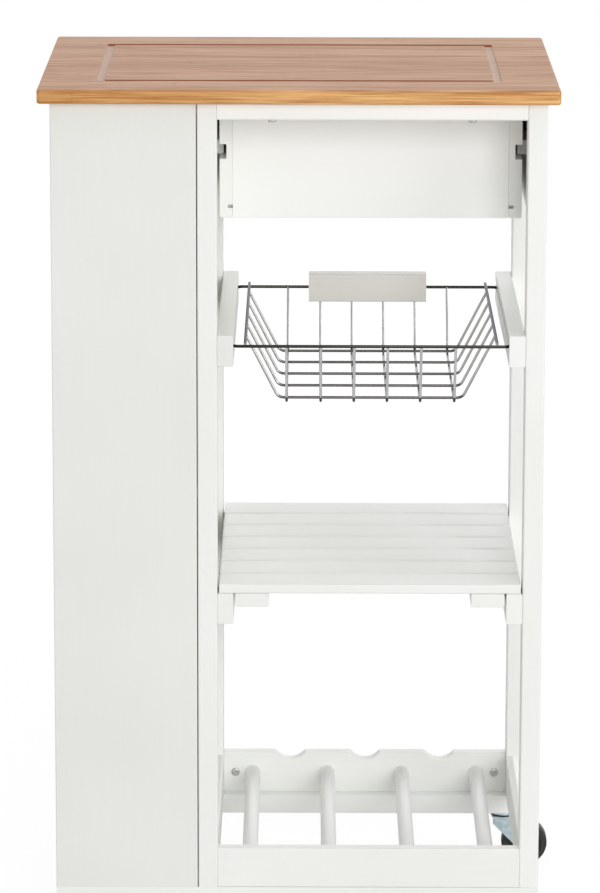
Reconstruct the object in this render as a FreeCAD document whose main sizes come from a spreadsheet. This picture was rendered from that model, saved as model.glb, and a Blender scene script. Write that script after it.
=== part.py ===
import FreeCAD, Part
import math
import os
import re
import Sketcher

# Kitchen cart: a cabinet column beside an open frame with a drawer, a wire basket,
# a slatted shelf and a bottle rack, under a bamboo worktop and on four castors.
# X runs along the worktop, +Y points at the side with the drawer front, +Z is up.

doc = FreeCAD.newDocument("KitchenCart")
sheet = doc.addObject("Spreadsheet::Sheet", "Sizes")
places = doc.addObject("App::FeaturePython", "Places")

SIZES = {
    # Worktop
    "top_width": 520, "top_depth": 370, "top_thick": 15, "cart_height": 915,
    "near_overhang": 15, "far_overhang": 20, "top_corner": 4, "top_edge_round": 2.5,
    "groove_inset": 56, "groove_width": 8.5, "groove_depth": 2.5, "groove_corner": 6,
    # Frame of posts and rails
    "side_overhang": 12, "cabinet_width": 146.5, "post_width": 19.7, "post_depth": 30,
    "edge_ease": 1, "top_rail_high": 18, "top_rail_thick": 13, "rail_corner": 3,
    "base_rail_deep": 33, "base_rail_high": 20.5, "panel_thick": 12, "seam": 1,
    # Cabinet
    "shelf_thick": 12, "shelf_setback": 6, "cabinet_floor_thick": 15, "cabinet_head_thick": 15,
    "pin_radius": 2.5, "pin_reach": 8, "pin_inset": 40, "hinge_pin_radius": 1.5,
    "door_gap": 2.6, "front_thick": 15, "door_top_gap": 3, "meeting_gap": 3,
    "panel_border": 32, "panel_sink": 4,
    "leaf_thick": 1.2, "leaf_high": 50, "leaf_width": 10, "hinge_inset": 70, "barrel_radius": 2.8,
    "hinge_play": 0.05, "barrel_clear": 0.4, "barrel_split": 0.3,
    "catch_wide": 40, "catch_deep": 14, "catch_high": 12, "catch_inset": 6, "plate_thick": 1.2,
    "knob_length": 22, "knob_radius": 13, "knob_neck": 6.5, "knob_foot": 9, "knob_inset": 24,
    "screw_head_radius": 4.5, "screw_head_high": 2.4,
    # Drawer
    "drawer_set_in": 100, "drawer_hang": 135, "drawer_side_high": 104,
    "drawer_side_thick": 13.5, "drawer_back_thick": 12, "drawer_gap": 0.7,
    "runner_slot_at": 61, "runner_slot_high": 15, "runner_slot_deep": 7, "runner_engage": 3.7,
    "runner_play": 0.3, "runner_setback": 30, "floor_slot_at": 10, "floor_thick": 3, "floor_play": 0.2,
    "floor_engage": 5, "drawer_front_drop": 3, "side_corner": 2,
    # Basket
    "rail_thick": 16.4, "rail_high": 32, "rail_stop": 3, "basket_hang": 237, "rim_drop": 12,
    "rim_radius": 1.6, "rim_slot_high": 4, "rim_slot_deep": 5, "rim_play": 0.3, "rim_near_inset": 5.4,
    "rim_far_inset": 27.8, "rim_bend": 8, "wire_radius": 1.4, "wall_slope": 33,
    "basket_deep": 65, "side_wire_inset": 12, "weld_gap": 0.1, "side_wire_tail": 3,
    "handle_wide": 126, "handle_high": 30, "handle_thick": 20, "handle_above": 15.5,
    "handle_round": 1.5, "wire_play": 0.15,
    # Slatted shelf
    "shelf_rise": 323, "slat_thick": 10, "slat_gap": 6, "slat_end_gap": 1.8,
    "cleat_wide": 34, "cleat_high": 14, "cleat_gap": 1.8,
    # Bottle rack
    "rack_high": 45, "near_board_high": 42, "rack_thick": 13, "rack_far_inset": 7, "rod_radius": 8,
    "rod_inset": 32.5, "rod_rise": 22.4, "scallop_radius": 20, "scallop_deep": 8, "scallop_shoulder": 4,
    "rack_screw_inset": 13, "rail_screw_inset": 55.3,
    # Castors
    "castor_height": 61.5, "castor_inset_x": 21.5, "castor_inset_y": 16.5, "castor_trail": 23,
    "wheel_radius": 25, "wheel_width": 18, "tread_bevel": 2, "hub_radius": 9, "web_sink": 3,
    "hub_play": 0.3, "axle_radius": 3, "axle_play": 0.05, "axle_head": 5, "axle_head_thick": 1.6,
    "fork_sheet": 2, "fork_clear": 1.2, "race_radius": 14, "race_high": 5, "race_gap": 0.3,
    "king_radius": 4, "king_play": 0.05, "king_head": 7, "king_head_thick": 1.6,
    "stem_radius": 4, "stem_long": 15, "fork_shoulder": 8, "fork_toe": 6,
    "fork_back": 12, "fork_brow": 14, "tyre_thick": 7,
}
CABINET_SHELF_SHARES = (0.25, 0.5, 0.75)
KNOB_RISE_SHARES = (0.12, 0.3, 0.45, 0.68, 0.88)
CROSS_WIRE_SHARES = (-0.94, -0.47, 0, 0.47, 0.94)
LONG_WIRE_SHARES = (-0.91, -0.54, -0.18, 0.18, 0.54, 0.91)
knob_crown_share = 0.8
screw_edge_share = 0.6
toe_cut_share = 0.5
thin_ease_share = 0.2
KNUCKLES = 3
SLATS = 7
RODS = 4
overrun = 5.0
hair = 1e-6

for row, (alias, value) in enumerate(SIZES.items(), start=1):
    sheet.set("A%d" % row, alias)
    sheet.set("B%d" % row, str(value))
    sheet.setAlias("B%d" % row, alias)
doc.recompute()


def size(alias):
    return float(sheet.get(alias))


def owned(text):
    """Put the owner's name before each size or place in an expression."""
    def owner(word):
        name = word.group()
        if name in SIZES:
            return "Sizes." + name
        if name in places.PropertiesList:
            return "Places." + name
        return name
    return re.sub(r"[a-z][a-z_]+", owner, text)


def place(name, text):
    """A place or span that several pieces share, worked out from the sizes."""
    expression = owned(text)
    places.addProperty("App::PropertyFloat", name)
    places.setExpression(name, expression)


place("knob_overreach", "door_gap + front_thick + knob_length - far_overhang")
place("top_near", "-(top_depth + knob_overreach) / 2")
place("near", "top_near + near_overhang")
place("far", "top_near + top_depth - far_overhang")
place("frame_depth", "far - near")
place("between_posts", "frame_depth - 2 * post_depth")
place("top_under", "cart_height - top_thick")
place("castor_overreach", "castor_trail + wheel_radius - castor_inset_x - side_overhang")
place("top_left", "-(top_width + castor_overreach) / 2")
place("body_width", "top_width - 2 * side_overhang")
place("left", "top_left + side_overhang")
place("right", "left + body_width")
place("post_left", "left + cabinet_width")
place("bay_left", "post_left + post_width")
place("bay_right", "right - post_width")
place("bay_width", "bay_right - bay_left")
place("bay_middle", "(bay_right + bay_left) / 2")
place("base", "castor_height + base_rail_high")
place("post_high", "top_under - base")
place("cabinet_in_left", "left + panel_thick")
place("cabinet_in_wide", "cabinet_width - panel_thick")
place("door_back", "far + door_gap")
place("drawer_length", "frame_depth - drawer_set_in")
place("drawer_bottom", "top_under - drawer_hang")
place("front_bottom", "drawer_bottom - drawer_front_drop")
place("front_top", "top_under - door_top_gap")
place("fronts_meet", "bay_left - meeting_gap")
place("basket_rail_low", "top_under - basket_hang - rail_high")
place("rim_level", "top_under - basket_hang - rim_drop")
place("rim_length", "frame_depth - rim_near_inset - rim_far_inset")
place("slat_top", "base + shelf_rise")
place("rod_pitch", "(bay_width - 2 * rod_inset) / %d" % (RODS - 1))
place("fork_top", "castor_height - race_high - race_gap")
doc.recompute()


def at(name):
    return places.getPropertyByName(name)


def put(piece, x, y, z):
    """Tie a piece's place to the sizes."""
    for axis, text in zip("xyz", (x, y, z)):
        piece.setExpression("Placement.Base." + axis, owned(text))


def body(label, x="0", y="0", z="0"):
    piece = doc.addObject("PartDesign::Body", label)
    piece.Label = label
    put(piece, x, y, z)
    return piece


def sketch(piece, role, lift=None):
    """A sketch on one of the body's own planes, lifted along its normal."""
    plane = [f for f in piece.Origin.OriginFeatures if f.Role == role][0]
    drawing = piece.newObject("Sketcher::SketchObject", "Sketch")
    drawing.AttachmentSupport = [(plane, "")]
    drawing.MapMode = "FlatFace"
    if lift:
        drawing.setExpression(".AttachmentOffset.Base.z", owned(lift))
    return drawing


def hold(drawing, kind, line, corner, text):
    """Fix one coordinate of a sketch point by an expression."""
    if text == "0":
        axis = -2 if kind == "DistanceX" else -1
        drawing.addConstraint(Sketcher.Constraint("PointOnObject", line, corner, axis))
        return
    number = drawing.addConstraint(Sketcher.Constraint(kind, -1, 1, line, corner, 1.0))
    drawing.setExpression("Constraints[%d]" % number, owned(text))


def outline(drawing, points):
    """A closed outline through points given as pairs of expressions."""
    lines = []
    count = len(points)
    for number in range(count):
        start = FreeCAD.Vector(number, number * number, 0)
        after = (number + 1) % count
        end = FreeCAD.Vector(after, after * after, 0)
        lines.append(drawing.addGeometry(Part.LineSegment(start, end), False))
    for number, line in enumerate(lines):
        after = lines[(number + 1) % count]
        drawing.addConstraint(Sketcher.Constraint("Coincident", line, 2, after, 1))
    for line, (x, y) in zip(lines, points):
        hold(drawing, "DistanceX", line, 1, x)
        hold(drawing, "DistanceY", line, 1, y)


def rectangle(drawing, wide, high, x="0", y="0"):
    far_x = wide if x == "0" else "(%s) + (%s)" % (x, wide)
    far_y = high if y == "0" else "(%s) + (%s)" % (y, high)
    outline(drawing, [(x, y), (far_x, y), (far_x, far_y), (x, far_y)])


def circle(drawing, radius, x="0", y="0"):
    unit_ring = Part.Circle(FreeCAD.Vector(1, 1, 0), FreeCAD.Vector(0, 0, 1), 1)
    ring = drawing.addGeometry(unit_ring, False)
    number = drawing.addConstraint(Sketcher.Constraint("Radius", ring, 1.0))
    drawing.setExpression("Constraints[%d]" % number, owned(radius))
    hold(drawing, "DistanceX", ring, 3, x)
    hold(drawing, "DistanceY", ring, 3, y)


def pad(piece, drawing, length, back=False, middle=False):
    feature = piece.newObject("PartDesign::Pad", "Pad")
    feature.Profile = drawing
    feature.setExpression("Length", owned(length))
    feature.Reversed = back
    feature.Midplane = middle
    return feature


def pocket(piece, drawing, length, back=False, middle=False):
    feature = piece.newObject("PartDesign::Pocket", "Pocket")
    feature.Profile = drawing
    feature.setExpression("Length", owned(length))
    feature.Reversed = back
    feature.Midplane = middle
    return feature


def turned(piece, role, points):
    """A round piece: an outline of radius and height turned about the plane's upright axis."""
    drawing = sketch(piece, role)
    outline(drawing, points)
    feature = piece.newObject("PartDesign::Revolution", "Revolution")
    feature.Profile = drawing
    feature.ReferenceAxis = (drawing, ["V_Axis"])
    return feature


def edges(feature, wanted):
    names = []
    for number, edge in enumerate(feature.Shape.Edges, start=1):
        if wanted(edge):
            names.append("Edge%d" % number)
    return names


def along(edge, axis):
    span = edge.Vertexes[-1].Point - edge.Vertexes[0].Point
    return span.Length > 0 and abs(abs(span[axis]) - span.Length) < hair


def round_edges(piece, feature, wanted, radius):
    doc.recompute()
    fillet = piece.newObject("PartDesign::Fillet", "Fillet")
    fillet.Base = (feature, edges(feature, wanted))
    fillet.setExpression("Radius", owned(radius))
    return fillet


boards_to_ease = []


def board(label, long_x, long_y, long_z, x, y, z, ease="edge_ease"):
    """A plain sawn board with its long edges eased."""
    piece = body(label, x, y, z)
    drawing = sketch(piece, "XY_Plane")
    rectangle(drawing, long_x, long_y)
    boards_to_ease.append((piece, pad(piece, drawing, long_z), ease))
    return piece


def ease_boards():
    doc.recompute()
    for piece, feature, ease in boards_to_ease:
        box = feature.Shape.BoundBox
        spans = (box.XLength, box.YLength, box.ZLength)
        long_axis = spans.index(max(spans))
        chamfer = piece.newObject("PartDesign::Chamfer", "Ease")
        chamfer.Base = (feature, edges(feature, lambda edge: along(edge, long_axis)))
        chamfer.setExpression("Size", owned(ease))
    boards_to_ease.clear()


def group(label, members):
    """Like pieces that share one node as separate solids."""
    piece = doc.addObject("Part::Compound", label)
    piece.Label = label
    piece.Links = members
    return piece


nodes = []


def keep(piece):
    nodes.append(piece)
    return piece


# Worktop: a glued bamboo board with a juice groove all round
worktop = keep(body("worktop", "top_left", "top_near", "top_under"))
blank = sketch(worktop, "XY_Plane")
rectangle(blank, "top_width", "top_depth")
slab = pad(worktop, blank, "top_thick")
slab = round_edges(worktop, slab, lambda edge: along(edge, 2), "top_corner")
groove_lines = sketch(worktop, "XY_Plane", "top_thick")
rectangle(groove_lines, "top_width - 2 * groove_inset", "top_depth - 2 * groove_inset",
          "groove_inset", "groove_inset")
rectangle(groove_lines, "top_width - 2 * groove_inset - 2 * groove_width",
          "top_depth - 2 * groove_inset - 2 * groove_width",
          "groove_inset + groove_width", "groove_inset + groove_width")
groove = pocket(worktop, groove_lines, "groove_depth")


def is_groove_corner(edge):
    inside = edge.BoundBox.XMin > size("top_corner") + overrun
    outside = edge.BoundBox.XMax < size("top_width") - size("top_corner") - overrun
    return along(edge, 2) and inside and outside


def is_top_rim(edge):
    box = edge.BoundBox
    low = size("groove_inset") / 2
    rim = (box.XMin < low and box.XMax < low) or box.XMin > size("top_width") - low
    rim = rim or (box.YMin < low and box.YMax < low) or box.YMin > size("top_depth") - low
    return rim and box.ZLength < hair


slab = round_edges(worktop, groove, is_groove_corner, "groove_corner / 2")
round_edges(worktop, slab, is_top_rim, "top_edge_round")

# Posts: four uprights that stand on the base rails
POSTS = (("post_near_left", "post_left", "near"), ("post_near_right", "bay_right", "near"),
         ("post_far_left", "post_left", "far - post_depth"),
         ("post_far_right", "bay_right", "far - post_depth"))
for label, x, y in POSTS:
    keep(board(label, "post_width", "post_depth", "post_high", x, y, "base"))

# Top rails: between the posts, under the worktop
for label, y in (("top_rail_near", "near"), ("top_rail_far", "far - top_rail_thick")):
    rail = keep(body(label, "bay_left", y, "top_under - top_rail_high"))
    blank = sketch(rail, "XY_Plane")
    rectangle(blank, "bay_width", "top_rail_thick")
    bar = pad(rail, blank, "top_rail_high")
    round_edges(rail, bar, lambda edge: along(edge, 0) and edge.BoundBox.ZMax < overrun,
                "rail_corner")

# Base rails: flat boards under the posts that carry the castors
for label, y, toward in (("base_rail_near", "near", "castor_inset_y"),
                         ("base_rail_far", "far - base_rail_deep",
                          "base_rail_deep - castor_inset_y")):
    rail = keep(body(label, "left", y, "castor_height"))
    blank = sketch(rail, "XY_Plane")
    rectangle(blank, "body_width", "base_rail_deep")
    bar = pad(rail, blank, "base_rail_high")
    stem_holes = sketch(rail, "XY_Plane")
    circle(stem_holes, "stem_radius", "castor_inset_x", toward)
    circle(stem_holes, "stem_radius", "body_width - castor_inset_x", toward)
    pocket(rail, stem_holes, "stem_long", back=True)

# Cabinet: back, outer side, inner wall between the left posts, floor and head
keep(board("cabinet_back", "cabinet_width - seam", "panel_thick", "post_high",
           "left", "near", "base"))
keep(board("cabinet_side", "panel_thick", "frame_depth - panel_thick", "post_high",
           "left", "near + panel_thick", "base"))
keep(board("cabinet_inner_wall", "panel_thick", "between_posts", "post_high",
           "post_left", "near + post_depth", "base"))
keep(board("cabinet_floor", "cabinet_in_wide", "frame_depth - panel_thick",
           "cabinet_floor_thick", "cabinet_in_left", "near + panel_thick", "base"))
keep(board("cabinet_head", "cabinet_in_wide", "frame_depth - panel_thick",
           "cabinet_head_thick", "cabinet_in_left", "near + panel_thick",
           "top_under - cabinet_head_thick"))

# Cabinet shelves: three boards, each on four pins that stand in the walls
cabinet_room = "(post_high - cabinet_floor_thick - cabinet_head_thick)"
pins = []
for number, share in enumerate(CABINET_SHELF_SHARES, start=1):
    level = "base + cabinet_floor_thick + %s * %s" % (cabinet_room, share)
    keep(board("cabinet_shelf_%d" % number, "cabinet_in_wide",
               "frame_depth - panel_thick - shelf_setback", "shelf_thick",
               "cabinet_in_left", "near + panel_thick", level))
    for x in ("cabinet_in_left", "post_left - pin_reach"):
        for y in ("near + panel_thick + pin_inset", "far - post_depth - pin_inset"):
            pin = doc.addObject("Part::Cylinder", "ShelfPin")
            pin.Placement.Rotation = FreeCAD.Rotation(FreeCAD.Vector(0, 1, 0), 90)
            pin.setExpression("Radius", owned("pin_radius"))
            pin.setExpression("Height", owned("pin_reach"))
            put(pin, x, y, level + " - pin_radius")
            pins.append(pin)
keep(group("shelf_pins", pins))

# Door: a framed front with a sunk middle, over the far edge of the cabinet
door = keep(body("cabinet_door", "left", "door_back", "base"))
blank = sketch(door, "XZ_Plane")
rectangle(blank, "fronts_meet - left", "front_top - base")
leaf = pad(door, blank, "front_thick", back=True)
sunk = sketch(door, "XZ_Plane", "-front_thick")
rectangle(sunk, "fronts_meet - left - 2 * panel_border", "front_top - base - 2 * panel_border",
          "panel_border", "panel_border")
leaf = pocket(door, sunk, "panel_sink", back=True)

# Hinges: two butt hinges whose barrels stand outside the cabinet's side
barrel_x = "left - barrel_radius - barrel_clear"
barrel_y = "far + door_gap / 2"
knuckle = "leaf_high / %d" % KNUCKLES


def knuckle_with_leaf(name, level, turn, bore, leaf_y):
    """One turn of the barrel and the strip of leaf that it rolls out of."""
    piece = body(name, barrel_x, barrel_y, level + " + %d * %s" % (turn, knuckle))
    ring = sketch(piece, "XY_Plane", "barrel_split / 2")
    circle(ring, "barrel_radius")
    circle(ring, bore)
    pad(piece, ring, knuckle + " - barrel_split")
    flap = sketch(piece, "XY_Plane", "barrel_split / 2")
    root = "(barrel_radius + hinge_pin_radius) / 2"
    rectangle(flap, "barrel_radius + barrel_clear + leaf_width - " + root, "leaf_thick",
              root, leaf_y)
    pad(piece, flap, knuckle + " - barrel_split")
    return piece


fixed_leaves = []
door_leaves = []
hinge_pins = []
for level in ("base + hinge_inset", "front_top - hinge_inset - leaf_high"):
    for turn in range(KNUCKLES):
        if turn % 2:
            door_leaves.append(knuckle_with_leaf(
                "DoorLeaf", level, turn, "hinge_pin_radius + hinge_play",
                "door_back - leaf_thick - (%s)" % barrel_y))
        else:
            fixed_leaves.append(knuckle_with_leaf(
                "FixedLeaf", level, turn, "hinge_pin_radius", "far - (%s)" % barrel_y))
    pin = doc.addObject("Part::Cylinder", "HingePin")
    pin.setExpression("Radius", owned("hinge_pin_radius"))
    pin.setExpression("Height", owned("leaf_high"))
    put(pin, barrel_x, barrel_y, level)
    hinge_pins.append(pin)
keep(group("hinge_leaves_fixed", fixed_leaves))
keep(group("hinge_leaves_door", door_leaves))
keep(group("hinge_pins", hinge_pins))

# Catch: a magnet under the cabinet's head and a plate on the door
keep(board("catch_magnet", "catch_wide", "catch_deep", "catch_high",
           "post_left - catch_inset - catch_wide", "far - catch_deep",
           "top_under - cabinet_head_thick - catch_high"))
keep(board("catch_plate", "catch_wide", "plate_thick", "catch_high",
           "post_left - catch_inset - catch_wide", "door_back - plate_thick",
           "top_under - cabinet_head_thick - catch_high",
           "%s * plate_thick" % thin_ease_share))


def knob(label, x, y, z):
    foot, waist, neck, belly, brow = ["%s * knob_length" % share for share in KNOB_RISE_SHARES]
    piece = body(label, x, y, z)
    turned(piece, "XY_Plane", [
        ("0", "0"), ("knob_foot", "0"), ("knob_foot", foot), ("knob_neck", waist),
        ("knob_neck", neck), ("knob_radius", belly), ("knob_radius", brow),
        ("%s * knob_radius" % knob_crown_share, "knob_length"), ("0", "knob_length")])
    return keep(piece)


knob("door_knob", "fronts_meet - knob_inset", "door_back + front_thick",
     "(base + front_top) / 2")

# Drawer: two grooved sides, a back between them, a floor in the slots of all three, a front
drawer_near = "far - drawer_length"
DRAWER_SIDES = (("drawer_side_left", "bay_left + drawer_gap", False),
                ("drawer_side_right", "bay_right - drawer_gap - drawer_side_thick", True))
for label, x, mirrored in DRAWER_SIDES:
    side = keep(body(label, x, drawer_near, "drawer_bottom"))
    profile = [("0", "0"), ("drawer_side_thick", "0"),
               ("drawer_side_thick", "floor_slot_at"),
               ("drawer_side_thick - floor_engage", "floor_slot_at"),
               ("drawer_side_thick - floor_engage", "floor_slot_at + floor_thick + floor_play"),
               ("drawer_side_thick", "floor_slot_at + floor_thick + floor_play"),
               ("drawer_side_thick", "drawer_side_high"), ("0", "drawer_side_high"),
               ("0", "runner_slot_at + runner_slot_high"),
               ("runner_slot_deep", "runner_slot_at + runner_slot_high"),
               ("runner_slot_deep", "runner_slot_at"), ("0", "runner_slot_at")]
    if mirrored:
        profile = [("drawer_side_thick" if x == "0" else "0" if x == "drawer_side_thick"
                    else "drawer_side_thick - (%s)" % x, y) for x, y in profile]
    end_face = sketch(side, "XZ_Plane")
    outline(end_face, profile)
    bar = pad(side, end_face, "drawer_length", back=True)
    round_edges(side, bar, lambda edge: along(edge, 1) and edge.BoundBox.ZMax < overrun,
                "side_corner")
inner_wide = "bay_width - 2 * drawer_gap - 2 * drawer_side_thick"
inner_left = "bay_left + drawer_gap + drawer_side_thick"
drawer_back = keep(body("drawer_back", inner_left, drawer_near, "drawer_bottom"))
end_face = sketch(drawer_back, "YZ_Plane")
outline(end_face, [("0", "0"), ("drawer_back_thick", "0"), ("drawer_back_thick", "floor_slot_at"),
                   ("drawer_back_thick - floor_engage", "floor_slot_at"),
                   ("drawer_back_thick - floor_engage", "floor_slot_at + floor_thick + floor_play"),
                   ("drawer_back_thick", "floor_slot_at + floor_thick + floor_play"),
                   ("drawer_back_thick", "drawer_side_high"), ("0", "drawer_side_high")])
pad(drawer_back, end_face, inner_wide)
floor_near = "drawer_back_thick - floor_engage + floor_play"
keep(board("drawer_floor", inner_wide + " + 2 * floor_engage - 2 * floor_play",
           "drawer_length - (%s)" % floor_near, "floor_thick",
           inner_left + " - floor_engage + floor_play", "%s + %s" % (drawer_near, floor_near),
           "drawer_bottom + floor_slot_at", "%s * floor_thick" % thin_ease_share))
keep(board("drawer_front", "right - bay_left", "front_thick", "front_top - front_bottom",
           "bay_left", "far", "front_bottom"))
knob("drawer_knob", "(right + bay_left) / 2", "far + front_thick",
     "(front_top + front_bottom) / 2")

# Drawer runners and the panel beside the drawer
slot_top = "drawer_bottom + runner_slot_at + runner_slot_high"
runner_wide = "post_width - panel_thick + drawer_gap + runner_engage"
runner_high = "runner_slot_high - 2 * runner_play"
runners = []
for x in ("post_left + panel_thick", "bay_right - drawer_gap - runner_engage"):
    runners.append(board("DrawerRunner", runner_wide,
                         "drawer_length - post_depth - runner_setback", runner_high, x,
                         drawer_near + " + runner_setback",
                         slot_top + " - runner_play - (%s)" % runner_high))
keep(group("drawer_runners", runners))
keep(board("side_apron", "panel_thick", "between_posts", "top_under - front_bottom",
           "right - panel_thick", "near + post_depth", "front_bottom"))

# Basket rails: battens on the inner faces of the posts, each with a slot that stops at its near end
rim_slot = "rail_high - rim_drop - rim_radius - rim_play"
for label, x, mirrored in (("basket_rail_left", "bay_left", False),
                           ("basket_rail_right", "bay_right - rail_thick", True)):
    rail = keep(body(label, x, "near", "basket_rail_low"))
    profile = [("0", "0"), ("rail_thick", "0"), ("rail_thick", rim_slot),
               ("rail_thick - rim_slot_deep", rim_slot),
               ("rail_thick - rim_slot_deep", rim_slot + " + rim_slot_high"),
               ("rail_thick", rim_slot + " + rim_slot_high"),
               ("rail_thick", "rail_high"), ("0", "rail_high")]
    if mirrored:
        profile = [("rail_thick" if x == "0" else "0" if x == "rail_thick"
                    else "rim_slot_deep", y) for x, y in profile]
    end_face = sketch(rail, "XZ_Plane")
    outline(end_face, profile)
    pad(rail, end_face, "frame_depth", back=True)
    stop_face = sketch(rail, "XZ_Plane")
    rectangle(stop_face, "rail_thick", "rail_high")
    pad(rail, stop_face, "rail_stop", back=True)


def swept(path, start, heading, radius, mitred=False):
    """Round wire along a path, mitred where straight runs meet at a corner."""
    section = Part.Wire(Part.makeCircle(radius, start, heading))
    return path.makePipeShell([section], True, False, int(mitred))


def ring_wire(corners, bend, radius):
    """A closed ring of round wire with a bend at each corner."""
    start = (corners[-1] + corners[0]) / 2
    points = [start] + corners + [start]
    runs = []
    last = start
    for before, corner, after in zip(points, points[1:], points[2:]):
        into = (corner - before).normalize()
        out = (after - corner).normalize()
        half_turn = into.getAngle(out) / 2
        bend_start = corner - into * bend * math.tan(half_turn)
        bend_end = corner + out * bend * math.tan(half_turn)
        crown = corner + (out - into).normalize() * (bend / math.cos(half_turn) - bend)
        runs.append(Part.LineSegment(last, bend_start).toShape())
        runs.append(Part.Arc(bend_start, crown, bend_end).toShape())
        last = bend_end
    runs.append(Part.LineSegment(last, start).toShape())
    return swept(Part.Wire(runs), start, corners[0] - start, radius)


def hung_wire(points, radius, carriers):
    """A wire of straight runs whose ends are shaped to the two wires that carry it."""
    wire = swept(Part.makePolygon(points), points[0], points[1] - points[0], radius, mitred=True)
    return wire.cut(carriers)


# Basket: a rim that rides in the rails, a net of bent wires welded to it, a wooden handle
middle = at("bay_middle")
rim_near = at("near") + size("rim_near_inset")
rim_far = rim_near + at("rim_length")
rim_z = at("rim_level")
rim_half = at("bay_width") / 2 - size("rail_thick") + size("rim_slot_deep") / 2
rim = keep(doc.addObject("Part::Feature", "basket_rim"))
rim.Label = "basket_rim"
rim.Shape = ring_wire([FreeCAD.Vector(middle - rim_half, rim_near, rim_z),
                       FreeCAD.Vector(middle + rim_half, rim_near, rim_z),
                       FreeCAD.Vector(middle + rim_half, rim_far, rim_z),
                       FreeCAD.Vector(middle - rim_half, rim_far, rim_z)],
                      size("rim_bend"), size("rim_radius"))

thin = size("wire_radius")
slope = size("wall_slope")
seat_radius = size("rim_radius") + size("weld_gap")
side_half = at("bay_width") / 2 - size("rail_thick") - size("side_wire_inset")
side_z = rim_z + 2 * size("rim_radius") + size("weld_gap")
side_length = at("rim_length") + 2 * size("side_wire_tail")
floor_z = side_z - size("basket_deep")
under_z = floor_z - 2 * thin - size("weld_gap")
wires = []
side_seats = []
rim_seats = []
for x in (middle - side_half, middle + side_half):
    start = FreeCAD.Vector(x, rim_near - size("side_wire_tail"), side_z)
    along_y = FreeCAD.Vector(0, 1, 0)
    wires.append(Part.makeCylinder(size("rim_radius"), side_length, start, along_y))
    side_seats.append(Part.makeCylinder(seat_radius, side_length, start, along_y))
for y in (rim_near, rim_far):
    start = FreeCAD.Vector(middle - rim_half, y, rim_z)
    rim_seats.append(Part.makeCylinder(seat_radius, 2 * rim_half, start, FreeCAD.Vector(1, 0, 0)))
for share in CROSS_WIRE_SHARES:
    y = (rim_near + rim_far) / 2 + share * (at("rim_length") / 2 - slope)
    wires.append(hung_wire([FreeCAD.Vector(middle - side_half, y, side_z),
                            FreeCAD.Vector(middle - side_half + slope, y, floor_z),
                            FreeCAD.Vector(middle + side_half - slope, y, floor_z),
                            FreeCAD.Vector(middle + side_half, y, side_z)], thin, side_seats))
long_wires = [middle + share * (side_half - slope) for share in LONG_WIRE_SHARES]
for x in long_wires:
    wires.append(hung_wire([FreeCAD.Vector(x, rim_near, rim_z),
                            FreeCAD.Vector(x, rim_near + slope, under_z),
                            FreeCAD.Vector(x, rim_far - slope, under_z),
                            FreeCAD.Vector(x, rim_far, rim_z)], thin, rim_seats))
net = keep(doc.addObject("Part::Feature", "basket_net"))
net.Label = "basket_net"
net.Shape = Part.makeCompound(wires)

handle = keep(doc.addObject("Part::Feature", "basket_handle"))
handle.Label = "basket_handle"
low_corner = FreeCAD.Vector(middle - size("handle_wide") / 2, rim_far - size("handle_thick") / 2,
                            rim_z + size("handle_above") - size("handle_high"))
block = Part.makeBox(size("handle_wide"), size("handle_thick"), size("handle_high"), low_corner)
block = block.makeFillet(size("handle_round"), [edge for edge in block.Edges if along(edge, 0)])
bores = [Part.makeCylinder(size("rim_radius") + size("wire_play"),
                           size("handle_wide") + 2 * overrun,
                           FreeCAD.Vector(low_corner.x - overrun, rim_far, rim_z),
                           FreeCAD.Vector(1, 0, 0))]
wall_run = FreeCAD.Vector(0, -slope, under_z - rim_z)
for x in long_wires:
    if abs(x - middle) < size("handle_wide") / 2:
        bores.append(Part.makeCylinder(thin + size("wire_play"), wall_run.Length,
                                       FreeCAD.Vector(x, rim_far, rim_z), wall_run))
handle.Shape = block.cut(bores)

# Slatted shelf: seven slats on two cleats, with a rail under each end
slat_pitch = "(frame_depth + slat_gap) / %d" % SLATS
slats = []
for number in range(SLATS):
    slats.append(board("Slat", "bay_width - 2 * slat_end_gap", slat_pitch + " - slat_gap",
                       "slat_thick", "bay_left + slat_end_gap",
                       "near + %d * %s" % (number, slat_pitch), "slat_top - slat_thick"))
keep(group("shelf_slats", slats))
rails = []
for x in ("bay_left", "bay_right - rail_thick"):
    rails.append(board("ShelfRail", "rail_thick", "frame_depth", "rail_high",
                       x, "near", "slat_top - slat_thick - rail_high"))
keep(group("shelf_rails", rails))
cleats = []
for x in ("bay_left + rail_thick + cleat_gap", "bay_right - rail_thick - cleat_gap - cleat_wide"):
    cleats.append(board("Cleat", "cleat_wide", "frame_depth", "cleat_high",
                        x, "near", "slat_top - slat_thick - cleat_high"))
keep(group("shelf_cleats", cleats))

# Bottle rack: a scalloped far board, a plain near board, four rods and two side boards
rack_far_face = "far - rack_far_inset - rack_thick"
scalloped = keep(body("bottle_board_far", "bay_left", rack_far_face, "base"))
blank = sketch(scalloped, "XZ_Plane")
rectangle(blank, "bay_width", "rack_high")
pad(scalloped, blank, "rack_thick", back=True)
bites = sketch(scalloped, "XZ_Plane")
for number in range(RODS - 1):
    circle(bites, "scallop_radius", "bay_width / 2 + (%d) * rod_pitch" % (number - 1),
           "rack_high + scallop_radius - scallop_deep")
cut = pocket(scalloped, bites, "rack_thick")


def is_shoulder(edge):
    box = edge.BoundBox
    inside = box.XMin > overrun and box.XMax < at("bay_width") - overrun
    return along(edge, 1) and inside and box.ZMin > size("rack_high") - overrun / 2


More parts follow.
